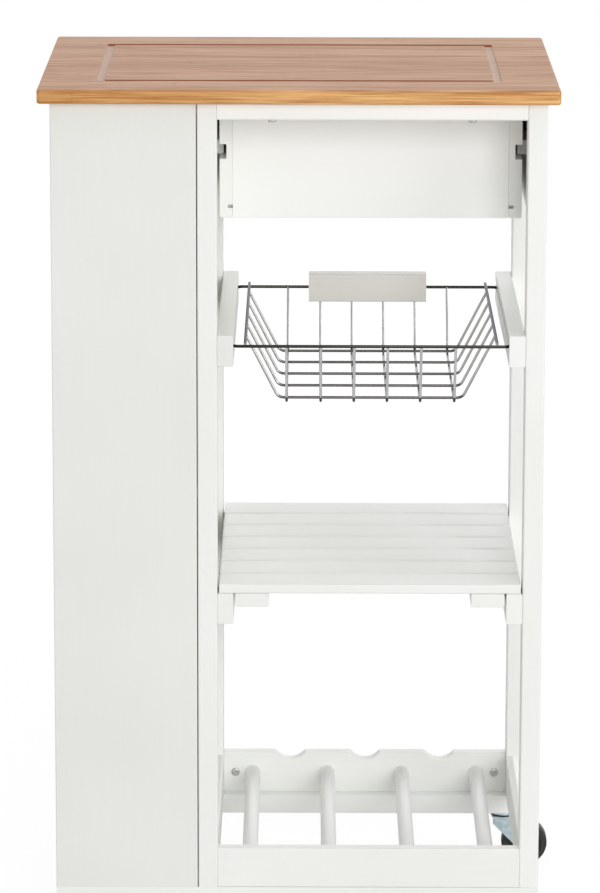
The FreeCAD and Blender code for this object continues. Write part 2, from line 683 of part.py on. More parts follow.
round_edges(scalloped, cut, is_shoulder, "scallop_shoulder")
keep(board("bottle_board_near", "bay_width", "rack_thick", "near_board_high", "bay_left", "near", "base"))
rods = []
for number in range(RODS):
    rod = doc.addObject("Part::Cylinder", "Rod")
    rod.Placement.Rotation = FreeCAD.Rotation(FreeCAD.Vector(1, 0, 0), -90)
    rod.setExpression("Radius", owned("rod_radius"))
    rod.setExpression("Height", owned("frame_depth - 2 * rack_thick - rack_far_inset"))
    put(rod, "bay_middle + (%s) * rod_pitch" % (number - (RODS - 1) / 2), "near + rack_thick",
        "base + rod_rise")
    rods.append(rod)
keep(group("bottle_rods", rods))
sides = []
for x in ("post_left + panel_thick", "bay_right"):
    sides.append(board("RackSide", "post_width - panel_thick", "between_posts", "rack_high",
                       x, "near + post_depth", "base"))
keep(group("rack_sides", sides))

# Screws: pan heads under the near top rail and on the scalloped board
pan_head = [("0", "0"), ("%s * screw_head_radius" % screw_edge_share, "0"),
            ("screw_head_radius", "%s * screw_head_high" % screw_edge_share),
            ("screw_head_radius", "screw_head_high"), ("0", "screw_head_high")]
screws = []
for rail_x, rack_x in (("bay_left + rail_screw_inset", "bay_left + rack_screw_inset"),
                       ("bay_right - rail_screw_inset", "bay_right - rack_screw_inset")):
    screw = body("RailScrew", rail_x, "near + top_rail_thick / 2",
                 "top_under - top_rail_high - screw_head_high")
    turned(screw, "XZ_Plane", pan_head)
    screws.append(screw)
    screw = body("RackScrew", rack_x, rack_far_face + " - screw_head_high", "base + rack_high / 2")
    turned(screw, "XY_Plane", pan_head)
    screws.append(screw)
keep(group("frame_screws", screws))

# Castors: a flange and stem in the base rail, a turning fork, an axle and a wheel.
# All four trail the same way, as after a push along the worktop.
place("stem_low", "fork_top - fork_sheet - race_gap - king_head_thick")
place("fork_low", "wheel_radius - fork_toe")
place("fork_high", "fork_top - fork_low")
place("fork_wide", "wheel_width + 2 * fork_clear + 2 * fork_sheet")
place("hub_proud", "fork_clear - hub_play")
doc.recompute()
race_low = "king_head_thick + 2 * race_gap + fork_sheet"
stem_outline = [("0", "0"), ("king_head", "0"), ("king_head", "king_head_thick"),
                ("king_radius", "king_head_thick"), ("king_radius", race_low),
                ("race_radius", race_low), ("race_radius", race_low + " + race_high"),
                ("stem_radius", race_low + " + race_high"),
                ("stem_radius", race_low + " + race_high + stem_long"),
                ("0", race_low + " + race_high + stem_long")]
fork_side = [("0", "fork_high"), ("fork_back + fork_brow", "fork_high"),
             ("fork_back + castor_trail + fork_toe", "2 * fork_toe"),
             ("fork_back + castor_trail + fork_toe", "%s * fork_toe" % toe_cut_share),
             ("fork_back + castor_trail + %s * fork_toe" % toe_cut_share, "0"),
             ("fork_back + castor_trail - fork_toe", "0"),
             ("0", "fork_high - fork_shoulder")]
axle_outline = [("0", "0"), ("axle_head", "0"), ("axle_head", "axle_head_thick"),
                ("axle_radius", "axle_head_thick"),
                ("axle_radius", "axle_head_thick + fork_wide"),
                ("axle_head", "axle_head_thick + fork_wide"),
                ("axle_head", "2 * axle_head_thick + fork_wide"),
                ("0", "2 * axle_head_thick + fork_wide")]
web_low = "hub_proud + web_sink"
web_high = "hub_proud + wheel_width - web_sink"
wheel_outline = [("axle_radius + axle_play", "0"), ("hub_radius", "0"), ("hub_radius", web_low),
                 ("wheel_radius - tyre_thick", web_low), ("wheel_radius - tyre_thick", "hub_proud"),
                 ("wheel_radius - tread_bevel", "hub_proud"),
                 ("wheel_radius", "hub_proud + tread_bevel"),
                 ("wheel_radius", "hub_proud + wheel_width - tread_bevel"),
                 ("wheel_radius - tread_bevel", "hub_proud + wheel_width"),
                 ("wheel_radius - tyre_thick", "hub_proud + wheel_width"),
                 ("wheel_radius - tyre_thick", web_high), ("hub_radius", web_high),
                 ("hub_radius", "2 * hub_proud + wheel_width"),
                 ("axle_radius + axle_play", "2 * hub_proud + wheel_width")]
CASTORS = (("near_left", "left + castor_inset_x", "near + castor_inset_y"),
           ("near_right", "right - castor_inset_x", "near + castor_inset_y"),
           ("far_left", "left + castor_inset_x", "far - castor_inset_y"),
           ("far_right", "right - castor_inset_x", "far - castor_inset_y"))
stems = []
for name, x, y in CASTORS:
    stem = body("Stem", x, y, "stem_low")
    turned(stem, "XZ_Plane", stem_outline)
    stems.append(stem)

    fork = keep(body("castor_fork_" + name, x + " - fork_back", y, "fork_low"))
    cheeks = sketch(fork, "XZ_Plane")
    outline(cheeks, fork_side)
    pad(fork, cheeks, "fork_wide", middle=True)
    inside = sketch(fork, "XZ_Plane")
    rectangle(inside, "fork_back + castor_trail + 2 * fork_toe", "fork_high - fork_sheet")
    pocket(fork, inside, "fork_wide - 2 * fork_sheet", middle=True)
    axle_hole = sketch(fork, "XZ_Plane")
    circle(axle_hole, "axle_radius", "fork_back + castor_trail", "fork_toe")
    pocket(fork, axle_hole, "2 * fork_wide", middle=True)
    crown = sketch(fork, "XY_Plane", "fork_high - fork_sheet")
    circle(crown, "race_radius", "fork_back")
    pad(fork, crown, "fork_sheet")
    king_hole = sketch(fork, "XY_Plane", "fork_high - 2 * fork_sheet")
    circle(king_hole, "king_radius + king_play", "fork_back")
    pocket(fork, king_hole, "3 * fork_sheet", back=True)

    axle = keep(body("castor_axle_" + name, x + " + castor_trail",
                     "%s - fork_wide / 2 - axle_head_thick" % y, "wheel_radius"))
    turned(axle, "XY_Plane", axle_outline)
    wheel = keep(body("castor_wheel_" + name, x + " + castor_trail",
                      "%s - wheel_width / 2 - hub_proud" % y, "wheel_radius"))
    turned(wheel, "XY_Plane", wheel_outline)
keep(group("castor_stems", stems))

ease_boards()
doc.recompute()

for thing in doc.Objects:
    if "Invalid" in thing.State or "Error" in thing.State:
        raise RuntimeError("failed: %s in %s" % (thing.Label, [o.Label for o in thing.InList]))
for node in nodes:
    if node.Shape.isNull() or not node.Shape.isValid() or not node.Shape.Solids:
        raise RuntimeError("bad shape: " + node.Label)
os.makedirs("parts", exist_ok=True)
for node in nodes:
    node.Shape.exportStep("parts/%s.step" % node.Label)
    box = node.Shape.BoundBox
    print("%-24s %d solid(s) x %.1f..%.1f y %.1f..%.1f z %.1f..%.1f" % (
        node.Label, len(node.Shape.Solids), box.XMin, box.XMax, box.YMin, box.YMax,
        box.ZMin, box.ZMax))
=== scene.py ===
import math

import bmesh
import bpy
from mathutils import Matrix, Vector


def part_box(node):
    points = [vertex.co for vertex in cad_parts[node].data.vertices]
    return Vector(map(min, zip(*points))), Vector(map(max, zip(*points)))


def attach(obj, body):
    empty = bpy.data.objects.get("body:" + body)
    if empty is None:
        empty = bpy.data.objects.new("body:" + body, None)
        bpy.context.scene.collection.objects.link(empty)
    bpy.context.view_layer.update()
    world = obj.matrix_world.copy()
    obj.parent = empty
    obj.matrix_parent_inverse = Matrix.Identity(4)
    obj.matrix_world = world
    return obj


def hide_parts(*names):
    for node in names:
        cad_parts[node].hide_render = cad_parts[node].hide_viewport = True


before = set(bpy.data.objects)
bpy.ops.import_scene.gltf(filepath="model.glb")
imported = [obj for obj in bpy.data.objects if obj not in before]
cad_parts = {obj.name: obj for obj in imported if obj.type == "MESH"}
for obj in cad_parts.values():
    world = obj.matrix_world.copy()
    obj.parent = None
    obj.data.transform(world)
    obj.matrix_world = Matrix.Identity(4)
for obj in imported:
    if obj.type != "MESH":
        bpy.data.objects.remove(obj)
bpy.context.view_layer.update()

# The studio camera: it stands behind the cart, well above the worktop, and looks slightly down
# with a long lens. Its place and angles were found from the worktop's corners and the posts.
camera_place = (0.00321, -4.41216, 1.57296)
camera_heading = -0.00212
camera_tip = 0.1958
camera_roll = -0.0022
lens_length = 173.79
sensor_long_side = 36.0
picture_drop = -0.201

camera_data = bpy.data.cameras.new("studio_camera")
camera_data.lens = lens_length
camera_data.sensor_fit = "VERTICAL"
camera_data.sensor_height = sensor_long_side
camera_data.sensor_width = sensor_long_side
camera_data.shift_y = picture_drop
camera_data.clip_end = 60.0
camera = bpy.data.objects.new("studio_camera", camera_data)
bpy.context.collection.objects.link(camera)
ahead = Vector((math.sin(camera_heading) * math.cos(camera_tip),
                math.cos(camera_heading) * math.cos(camera_tip), -math.sin(camera_tip)))
level_right = Vector((math.cos(camera_heading), -math.sin(camera_heading), 0.0))
level_down = ahead.cross(level_right)
right = math.cos(camera_roll) * level_right + math.sin(camera_roll) * level_down
up = math.sin(camera_roll) * level_right - math.cos(camera_roll) * level_down
turn = Matrix((right, up, -ahead)).transposed()
camera.matrix_world = Matrix.Translation(camera_place) @ turn.to_4x4()
bpy.context.scene.camera = camera
bpy.context.scene.view_settings.view_transform = "Standard"


# The floor: a wide sheet of matt white studio paper. The camera sees it nearly as white as the
# backdrop, with the cart's soft shadow on it.
floor_reach = 7.6
paper_colour = "F8F8F7"
paper_lift = 0.8
paper_glow = 1.1


def linear(code):
    """An sRGB hex colour as the linear colour that the shaders take."""
    parts = [int(code[i:i + 2], 16) / 255 for i in (0, 2, 4)]
    return tuple(p / 12.92 if p <= 0.04045 else ((p + 0.055) / 1.055) ** 2.4
                 for p in parts) + (1.0,)


def add_node(tree, kind, inputs=None, **settings):
    """Add a node with its settings, and link or set its inputs."""
    node = tree.nodes.new(kind)
    for name, value in settings.items():
        setattr(node, name, value)
    for name, value in (inputs or {}).items():
        if isinstance(value, bpy.types.NodeSocket):
            tree.links.new(value, node.inputs[name])
        else:
            node.inputs[name].default_value = value
    return node


def blank_material(name):
    """A material with nothing in its tree but the output."""
    material = bpy.data.materials.new(name)
    material.use_nodes = True
    tree = material.node_tree
    tree.nodes.clear()
    return material, tree, tree.nodes.new("ShaderNodeOutputMaterial")


def studio_paper():
    """Matt paper, lifted towards plain white for what the camera sees of it."""
    material, tree, output = blank_material("studio_paper")
    matt = add_node(tree, "ShaderNodeBsdfDiffuse", {"Color": linear(paper_colour)})
    white = add_node(tree, "ShaderNodeEmission", {"Color": (1, 1, 1, 1), "Strength": paper_glow})
    ray = add_node(tree, "ShaderNodeLightPath")
    share = add_node(tree, "ShaderNodeMath", {0: ray.outputs["Is Camera Ray"], 1: paper_lift},
                     operation="MULTIPLY")
    mixed = add_node(tree, "ShaderNodeMixShader",
                     {0: share.outputs[0], 1: matt.outputs[0], 2: white.outputs[0]})
    tree.links.new(mixed.outputs[0], output.inputs["Surface"])
    return material


bpy.ops.object.select_all(action="DESELECT")
bpy.ops.mesh.primitive_plane_add(size=floor_reach, location=(0, 0, 0))
floor = bpy.context.object
floor.name = "floor"
floor.data.materials.append(studio_paper())


# The lamps: a large soft box behind the camera, one at each end of the cart, one overhead, three
# on its far side, and a dim white room all round, which the camera and the metal see as white.
room_strength = 0.24
world = bpy.data.worlds.new("white_room")
world.use_nodes = True
bpy.context.scene.world = world
room = world.node_tree
room.nodes.clear()
room_light = add_node(room, "ShaderNodeBackground",
                      {"Color": (1, 1, 1, 1), "Strength": room_strength})
room_seen = add_node(room, "ShaderNodeBackground", {"Color": (1, 1, 1, 1), "Strength": 1.0})
ray = add_node(room, "ShaderNodeLightPath")
seen = add_node(room, "ShaderNodeMath", {0: ray.outputs["Is Camera Ray"],
                                         1: ray.outputs["Is Glossy Ray"]}, operation="MAXIMUM")
seen = add_node(room, "ShaderNodeMath", {0: seen.outputs[0],
                                         1: ray.outputs["Is Transmission Ray"]},
                operation="MAXIMUM")
mixed = add_node(room, "ShaderNodeMixShader", {0: seen.outputs[0], 1: room_light.outputs[0],
                                               2: room_seen.outputs[0]})
add_node(room, "ShaderNodeOutputWorld", {"Surface": mixed.outputs[0]})

SOFT_BOXES = (
    ("soft_box_front", (1.4, -7.0, 2.4), 3.4, 220.0),
    ("soft_box_right", (2.7, -1.7, 1.4), 2.0, 22.0),
    ("soft_box_left", (-3.4, 0.1, 1.2), 2.2, 22.0),
    ("soft_box_over", (0.2, -0.5, 3.2), 3.0, 21.0),
    ("soft_box_far", (0.3, 3.8, 1.3), 2.4, 24.0),
    ("soft_box_far_left", (-2.9, 3.0, 1.2), 2.0, 15.0),
    ("soft_box_far_right", (2.9, 3.0, 1.2), 2.0, 15.0),
)
cart_middle = Vector((0.0, 0.0, 0.5))
for name, place, width, power in SOFT_BOXES:
    lamp_data = bpy.data.lights.new(name, "AREA")
    lamp_data.shape = "SQUARE"
    lamp_data.size = width
    lamp_data.energy = power
    lamp = bpy.data.objects.new(name, lamp_data)
    bpy.context.collection.objects.link(lamp)
    lamp.location = place
    lamp.rotation_euler = (cart_middle - Vector(place)).to_track_quat("-Z", "Y").to_euler()


# Castor wheels: moulded in hard black rubber, each with a rounded tread, a sunk web with ribs on
# both sides and a bored hub that turns on the axle.
wheel_radius = 0.025
wheel_width = 0.018
tread_round = 0.0026
tyre_thick = 0.0065
web_sink = 0.003
hub_radius = 0.009
hub_length = 0.0198
axle_bore = 0.00305
bore_margin = 0.0002
rib_count = 8
rib_thick = 0.0016
rib_bite = 0.001
rib_sink = 0.0016
rib_ease = 0.0003
rubber_black = "1B1A1A"
rubber_worn = "2B2A29"
no_gap = 1e-6
smooth_limit = 35.0


def choose(kind, wanted):
    """In edit mode, select only those faces, edges or vertices that are wanted."""
    bpy.ops.mesh.select_mode(type=kind)
    bpy.ops.mesh.select_all(action="DESELECT")
    shape = bmesh.from_edit_mesh(bpy.context.object.data)
    group = {"VERT": shape.verts, "EDGE": shape.edges, "FACE": shape.faces}[kind]
    for thing in group:
        if wanted(thing):
            thing.select_set(True)
    shape.select_flush_mode()
    bmesh.update_edit_mesh(bpy.context.object.data)


def runs_level(edge):
    """Whether an edge lies level, as those round a cylinder's ends do."""
    return abs(edge.verts[0].co.z - edge.verts[1].co.z) < no_gap


def begin(name, kind, **settings):
    """Add a primitive under its name, alone selected and in edit mode."""
    bpy.ops.object.select_all(action="DESELECT")
    getattr(bpy.ops.mesh, "primitive_%s_add" % kind)(**settings)
    piece = bpy.context.object
    piece.name = name
    bpy.ops.object.mode_set(mode="EDIT")
    bpy.ops.mesh.select_mode(type="VERT")
    return piece


def end(smooth_below=smooth_limit):
    """Weld the mesh, turn its faces outwards, leave edit mode and shade its curves smooth."""
    bpy.ops.mesh.select_all(action="SELECT")
    bpy.ops.mesh.remove_doubles(threshold=no_gap)
    bpy.ops.mesh.normals_make_consistent(inside=False)
    bpy.ops.object.mode_set(mode="OBJECT")
    bpy.ops.object.shade_smooth_by_angle(angle=math.radians(smooth_below))


def settle(piece, turned=(0, 0, 0), moved=(0, 0, 0)):
    """Put a piece in its place, and keep that place in its mesh."""
    bpy.ops.object.select_all(action="DESELECT")
    piece.select_set(True)
    bpy.context.view_layer.objects.active = piece
    piece.rotation_euler = turned
    piece.location = moved
    bpy.ops.object.transform_apply(location=True, rotation=True, scale=True)


def copy_of(piece, name):
    """A copy of a modelled piece, with its own mesh."""
    twin = piece.copy()
    twin.data = piece.data.copy()
    twin.name = name
    bpy.context.collection.objects.link(twin)
    return twin


def middle_of(node):
    """The middle of a CAD node's box."""
    low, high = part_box(node)
    return (Vector(low) + Vector(high)) / 2


def black_rubber():
    """Hard rubber as moulded: nearly black, dull, a little greyer where it is scuffed."""
    scuff_length = 0.006
    # Dust is finer; it is drawn coarser so that it shows from close by.
    dust_size = 0.0009
    material, tree, output = blank_material("hard_rubber_moulded")
    place = add_node(tree, "ShaderNodeTexCoord").outputs["Object"]
    scuff = add_node(tree, "ShaderNodeTexNoise", {"Vector": place, "Scale": 1 / scuff_length,
                                                  "Detail": 5.0}).outputs["Fac"]
    dust = add_node(tree, "ShaderNodeTexNoise", {"Vector": place, "Scale": 1 / dust_size,
                                                 "Detail": 2.0}).outputs["Fac"]
    worn = add_node(tree, "ShaderNodeMapRange", {"Value": scuff, "From Min": 0.45,
                                                 "From Max": 0.75}).outputs[0]
    colour = add_node(tree, "ShaderNodeMix", {0: worn, 6: linear(rubber_black),
                                              7: linear(rubber_worn)},
                      data_type="RGBA").outputs[2]
    sheen = add_node(tree, "ShaderNodeMapRange", {"Value": scuff, "To Min": 0.36,
                                                  "To Max": 0.62}).outputs[0]
    bump = add_node(tree, "ShaderNodeBump", {"Height": dust, "Strength": 0.2,
                                             "Distance": 0.0002}).outputs[0]
    surface = add_node(tree, "ShaderNodeBsdfPrincipled",
                       {"Base Color": colour, "Roughness": sheen, "Normal": bump, "IOR": 1.52})
    tree.links.new(surface.outputs[0], output.inputs["Surface"])
    return material


wheel = begin("castor_wheel", "cylinder", vertices=72, radius=wheel_radius, depth=wheel_width,
              end_fill_type="NGON")
choose("EDGE", runs_level)
bpy.ops.mesh.bevel(offset=tread_round, segments=5, profile=0.5)
for side in (1, -1):
    choose("FACE", lambda face: face.normal.z * side > 0.99 and len(face.verts) > 8)
    bpy.ops.mesh.inset(thickness=tyre_thick - tread_round)
    bpy.ops.mesh.extrude_region_move(TRANSFORM_OT_translate={"value": (0, 0, -side * web_sink)})
    bpy.ops.mesh.inset(thickness=wheel_radius - tyre_thick - hub_radius)
    hub_rise = (hub_length - wheel_width) / 2 + web_sink
    bpy.ops.mesh.extrude_region_move(TRANSFORM_OT_translate={"value": (0, 0, side * hub_rise)})
    bpy.ops.mesh.inset(thickness=hub_radius - axle_bore)
    bpy.ops.mesh.delete(type="FACE")
choose("VERT", lambda vert: vert.co.xy.length < axle_bore + bore_margin)
bpy.ops.mesh.bridge_edge_loops()
end()
settle(wheel, turned=(math.pi / 2, 0, 0))

rib = begin("wheel_ribs", "cube", size=1.0)
bpy.ops.transform.resize(value=(wheel_radius - tyre_thick - hub_radius + rib_bite, rib_thick,
                                wheel_width - rib_sink))
bpy.ops.transform.translate(value=((wheel_radius - tyre_thick + hub_radius) / 2, 0, 0))
bpy.ops.mesh.bevel(offset=rib_ease, segments=2, affect="EDGES")
for _ in range(rib_count - 1):
    bpy.ops.mesh.duplicate()
    bpy.ops.transform.rotate(value=math.tau / rib_count, orient_axis="Z",
                             center_override=(0, 0, 0))
end()
settle(rib, turned=(math.pi / 2, 0, 0))
bpy.ops.object.select_all(action="DESELECT")
rib.select_set(True)
wheel.select_set(True)
bpy.context.view_layer.objects.active = wheel
bpy.ops.object.join()
wheel.data.materials.append(black_rubber())

CORNERS = ("near_left", "near_right", "far_left", "far_right")
for corner in CORNERS:
    tyre = copy_of(wheel, "tyre_" + corner)
    settle(tyre, moved=middle_of("castor_wheel_" + corner))
    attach(tyre, "wheel_" + corner)
    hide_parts("castor_wheel_" + corner)
bpy.data.objects.remove(wheel)


# Castor forks, axles, cups and stems: pressed and turned steel under bright zinc with a faint blue
# tinge. A black nylon ring closes the gap between cup and fork.
ring_high = 0.0019
ring_gap = 0.0003
ring_overlap = 0.0004
ring_ease = 0.0006
cup_radius = 0.014
pressed_edge = 0.0005
zinc_pale = "DDEBEF"
zinc_deep = "B4CBD4"
nylon_black = "121212"


def bright_zinc():
    """Zinc-plated steel: pale blue-grey metal with a soft spangle and fine drawing lines."""
    spangle = 0.0045
    # Drawing lines are finer; they are drawn coarser so that they show from close by.
    line_width = 0.0004
    line_length = 0.012
    material, tree, output = blank_material("zinc_plated_steel_blue")
    place = add_node(tree, "ShaderNodeTexCoord").outputs["Object"]
    patch = add_node(tree, "ShaderNodeTexVoronoi", {"Vector": place, "Scale": 1 / spangle},
                     feature="SMOOTH_F1").outputs["Color"]
    patch = add_node(tree, "ShaderNodeSeparateColor", {"Color": patch}).outputs[0]
    drawn = add_node(tree, "ShaderNodeVectorMath",
                     {0: place, 1: (1 / line_width, 1 / line_width, 1 / line_length)},
                     operation="MULTIPLY").outputs[0]
    lines = add_node(tree, "ShaderNodeTexNoise", {"Vector": drawn, "Scale": 1.0,
                                                  "Detail": 2.0}).outputs["Fac"]
    colour = add_node(tree, "ShaderNodeMix", {0: patch, 6: linear(zinc_deep),
                                              7: linear(zinc_pale)}, data_type="RGBA").outputs[2]
    rough = add_node(tree, "ShaderNodeMapRange", {"Value": lines, "To Min": 0.26,
                                                  "To Max": 0.44}).outputs[0]
    bump = add_node(tree, "ShaderNodeBump", {"Height": lines, "Strength": 0.15,
                                             "Distance": 0.0001}).outputs[0]
    surface = add_node(tree, "ShaderNodeBsdfPrincipled",
                       {"Base Color": colour, "Metallic": 1.0, "Roughness": rough,
                        "Normal": bump})
    tree.links.new(surface.outputs[0], output.inputs["Surface"])
    return material


def black_nylon():
    """Moulded nylon: black, smooth and slightly glossy, with a fine pebble."""
    # A moulded pebble is finer; it is drawn coarser so that it shows from close by.
    pebble_size = 0.0006
    material, tree, output = blank_material("black_nylon_moulded")
    place = add_node(tree, "ShaderNodeTexCoord").outputs["Object"]
    pebble = add_node(tree, "ShaderNodeTexNoise", {"Vector": place,
                                                   "Scale": 1 / pebble_size}).outputs["Fac"]
    bump = add_node(tree, "ShaderNodeBump", {"Height": pebble, "Strength": 0.1,
                                             "Distance": 0.0001}).outputs[0]
    sheen = add_node(tree, "ShaderNodeMapRange", {"Value": pebble, "To Min": 0.32,
                                                  "To Max": 0.46}).outputs[0]
    surface = add_node(tree, "ShaderNodeBsdfPrincipled",
                       {"Base Color": linear(nylon_black), "Roughness": sheen, "Normal": bump,
                        "IOR": 1.53})
    tree.links.new(surface.outputs[0], output.inputs["Surface"])
    return material


def keep_flat(piece):
    """Let wide faces look flat right up to their rounded edges."""
    weights = piece.modifiers.new("wide_faces_first", "WEIGHTED_NORMAL")
    weights.keep_sharp = True
    bpy.ops.object.modifier_apply(modifier=weights.name)


def eased_copy(node, name, ease):
    """A copy of a CAD node with its sharp edges rounded."""
    crease = 25.0
    bpy.ops.object.select_all(action="DESELECT")
    piece = copy_of(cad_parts[node], name)
    piece.parent = None
    piece.matrix_world = Matrix.Identity(4)
    piece.hide_render = False
    piece.select_set(True)
    bpy.context.view_layer.objects.active = piece
    bpy.ops.object.mode_set(mode="EDIT")
    bpy.ops.mesh.select_all(action="SELECT")
    bpy.ops.mesh.remove_doubles(threshold=no_gap)
    bpy.ops.mesh.dissolve_limited(angle_limit=math.radians(1.0))
    bpy.ops.object.mode_set(mode="OBJECT")
    rounding = piece.modifiers.new("eased_edges", "BEVEL")
    rounding.limit_method = "ANGLE"
    rounding.angle_limit = math.radians(crease)
    rounding.width = ease
    rounding.segments = 2
    rounding.use_clamp_overlap = True
    bpy.ops.object.modifier_apply(modifier=rounding.name)
    bpy.ops.object.shade_smooth_by_angle(angle=math.radians(smooth_limit))
    keep_flat(piece)
    piece.data.materials.clear()
    return piece


zinc = bright_zinc()
nylon = black_nylon()
for corner in CORNERS:
    fork = eased_copy("castor_fork_" + corner, "fork_" + corner, pressed_edge)
    fork.data.materials.append(zinc)
    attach(fork, "castor_" + corner)
    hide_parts("castor_fork_" + corner)


def dress(material, *nodes):
    """Give CAD nodes a finish in place of their plain one."""
    for name in nodes:
        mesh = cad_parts[name].data
        mesh.materials.clear()
        mesh.materials.append(material)


dress(zinc, "castor_stems", *("castor_axle_" + corner for corner in CORNERS))
for corner in CORNERS:
    low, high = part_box("castor_fork_" + corner)
    black_ring = begin("cup_ring_" + corner, "cylinder", vertices=64, radius=cup_radius + ring_overlap,
                 depth=ring_high, end_fill_type="NGON")
    choose("EDGE", runs_level)
    bpy.ops.mesh.bevel(offset=ring_ease, segments=3)
    end()
    settle(black_ring, moved=(low[0] + cup_radius, (low[1] + high[1]) / 2,
                        high[2] + ring_gap + ring_high / 2))
    black_ring.data.materials.append(nylon)
    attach(black_ring, "frame")


# Posts and rails of the frame, and all other painted boards: machined wood under satin white
# paint, which levels almost flat and keeps only a trace of the grain along each board, under a
# fine orange peel. How the posts and rails are joined doesn't show.
paint_white = "F7F8F5"
paint_shade = "F1F2EE"
# A whiter copy of the paint: painted light on some boards.
painted_light_white = "FCFDFB"
painted_light_tint = "F8F9F6"
paint_smoothest = 0.37
paint_roughest = 0.49
sanded_edge = 0.0006
seam_edge = 0.0002


def painted_wood(name, grain_axis, colour=paint_white, shade=paint_shade):
    """Satin paint on wood: an even white with faint grain along one axis and a fine peel."""
    grain_width = 0.0024
    grain_length = 0.11
    peel = 0.0011
    drift = 0.19
    grain_tone = 0.3
    grain_relief = 0.6
    turns = {"Z": (0, 0, 0), "X": (0, math.pi / 2, 0), "Y": (math.pi / 2, 0, 0)}
    material, tree, output = blank_material(name)
    place = add_node(tree, "ShaderNodeTexCoord").outputs["Object"]
    place = add_node(tree, "ShaderNodeMapping", {"Vector": place,
                                                 "Rotation": turns[grain_axis]}).outputs[0]
    stretched = add_node(tree, "ShaderNodeVectorMath",
                         {0: place, 1: (1 / grain_width, 1 / grain_width, 1 / grain_length)},
                         operation="MULTIPLY").outputs[0]
    grain = add_node(tree, "ShaderNodeTexNoise", {"Vector": stretched, "Scale": 1.0, "Detail": 3.0,
                                                  "Roughness": 0.6}).outputs["Fac"]
    cloud = add_node(tree, "ShaderNodeTexNoise", {"Vector": place, "Scale": 1 / drift,
                                                  "Detail": 2.0}).outputs["Fac"]
    fine = add_node(tree, "ShaderNodeTexNoise", {"Vector": place, "Scale": 1 / peel,
                                                 "Detail": 1.0}).outputs["Fac"]
    tone = add_node(tree, "ShaderNodeMath", {0: grain, 1: grain_tone, 2: cloud},
                    operation="MULTIPLY_ADD").outputs[0]
    spread = add_node(tree, "ShaderNodeMapRange", {"Value": tone, "From Min": 0.42,
                                                   "From Max": 0.9}).outputs[0]
    paint = add_node(tree, "ShaderNodeMix", {0: spread, 6: linear(shade), 7: linear(colour)},
                     data_type="RGBA").outputs[2]
    relief = add_node(tree, "ShaderNodeMath", {0: grain, 1: grain_relief, 2: fine},
                      operation="MULTIPLY_ADD").outputs[0]
    bump = add_node(tree, "ShaderNodeBump", {"Height": relief, "Strength": 0.08,
                                             "Distance": 0.0003}).outputs[0]
    sheen = add_node(tree, "ShaderNodeMapRange", {"Value": fine, "To Min": paint_smoothest,
                                                  "To Max": paint_roughest}).outputs[0]
    surface = add_node(tree, "ShaderNodeBsdfPrincipled",
                       {"Base Color": paint, "Roughness": sheen, "Normal": bump, "IOR": 1.5})
    tree.links.new(surface.outputs[0], output.inputs["Surface"])
    return material


def ease_boards(material, body, *nodes, ease=sanded_edge):
    """Show CAD boards with softly sanded edges under their paint."""
    for node in nodes:
        piece = eased_copy(node, node + "_sanded", ease)
        piece.data.materials.append(material)
        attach(piece, body)
        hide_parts(node)


upright_paint = painted_wood("satin_white_paint_upright", "Z")
level_paint = painted_wood("satin_white_paint_level", "X")
deep_paint = painted_wood("satin_white_paint_deep", "Y")
painted_light_upright = painted_wood("satin_white_paint_upright_painted_light", "Z", painted_light_white, painted_light_tint)
painted_light_level = painted_wood("satin_white_paint_level_painted_light", "X", painted_light_white, painted_light_tint)
ease_boards(upright_paint, "frame", "post_near_left", ease=seam_edge)
ease_boards(upright_paint, "frame", "post_near_right")
# Painted light: the far posts, the top rails and the far base rail take the whiter copy.
ease_boards(painted_light_upright, "frame", "post_far_left", "post_far_right")
ease_boards(painted_light_level, "frame", "top_rail_near", "top_rail_far", "base_rail_far")
ease_boards(level_paint, "frame", "base_rail_near")


# Cabinet: a back, two sides, a head and a floor of painted board, with three loose shelves that
# lie on nickel-plated pins.
nickel_bright = "C9C8C2"
nickel_grey = "A8A7A1"
panel_white = "EFF0EC"
panel_shade = "E9EAE6"


def nickel_plate():
    """Nickel-plated steel: warm, bright and tumbled smooth, a little cloudy."""
    cloud_size = 0.003
    material, tree, output = blank_material("nickel_plated_steel_tumbled")
    place = add_node(tree, "ShaderNodeTexCoord").outputs["Object"]
    cloud = add_node(tree, "ShaderNodeTexNoise", {"Vector": place, "Scale": 1 / cloud_size,
                                                  "Detail": 4.0}).outputs["Fac"]
    colour = add_node(tree, "ShaderNodeMix", {0: cloud, 6: linear(nickel_grey),
                                              7: linear(nickel_bright)},
                      data_type="RGBA").outputs[2]
    rough = add_node(tree, "ShaderNodeMapRange", {"Value": cloud, "To Min": 0.18,
                                                  "To Max": 0.34}).outputs[0]
    surface = add_node(tree, "ShaderNodeBsdfPrincipled",
                       {"Base Color": colour, "Metallic": 1.0, "Roughness": rough})
    tree.links.new(surface.outputs[0], output.inputs["Surface"])
    return material


nickel = nickel_plate()
panel_paint = painted_wood("satin_white_paint_panel", "Z", panel_white, panel_shade)
ease_boards(upright_paint, "frame", "cabinet_side", "cabinet_inner_wall")
ease_boards(panel_paint, "frame", "cabinet_back", ease=seam_edge)
dress(deep_paint, "cabinet_floor", "cabinet_head", "cabinet_shelf_1", "cabinet_shelf_2",
      "cabinet_shelf_3")
dress(nickel, "shelf_pins")


# Cabinet door: two stiles and two rails of painted wood, round a thinner panel with a small
# moulding on both faces. It hangs on two nickel-plated butt hinges, and a magnet in a white
# plastic case holds it shut.
door_border = 0.032
panel_recess = 0.004
panel_inset = 0.001
door_ease = 0.0008
moulding = 0.0022
moulding_step = 0.0009
moulding_cove = 0.0004
plastic_white = "E4E4E0"


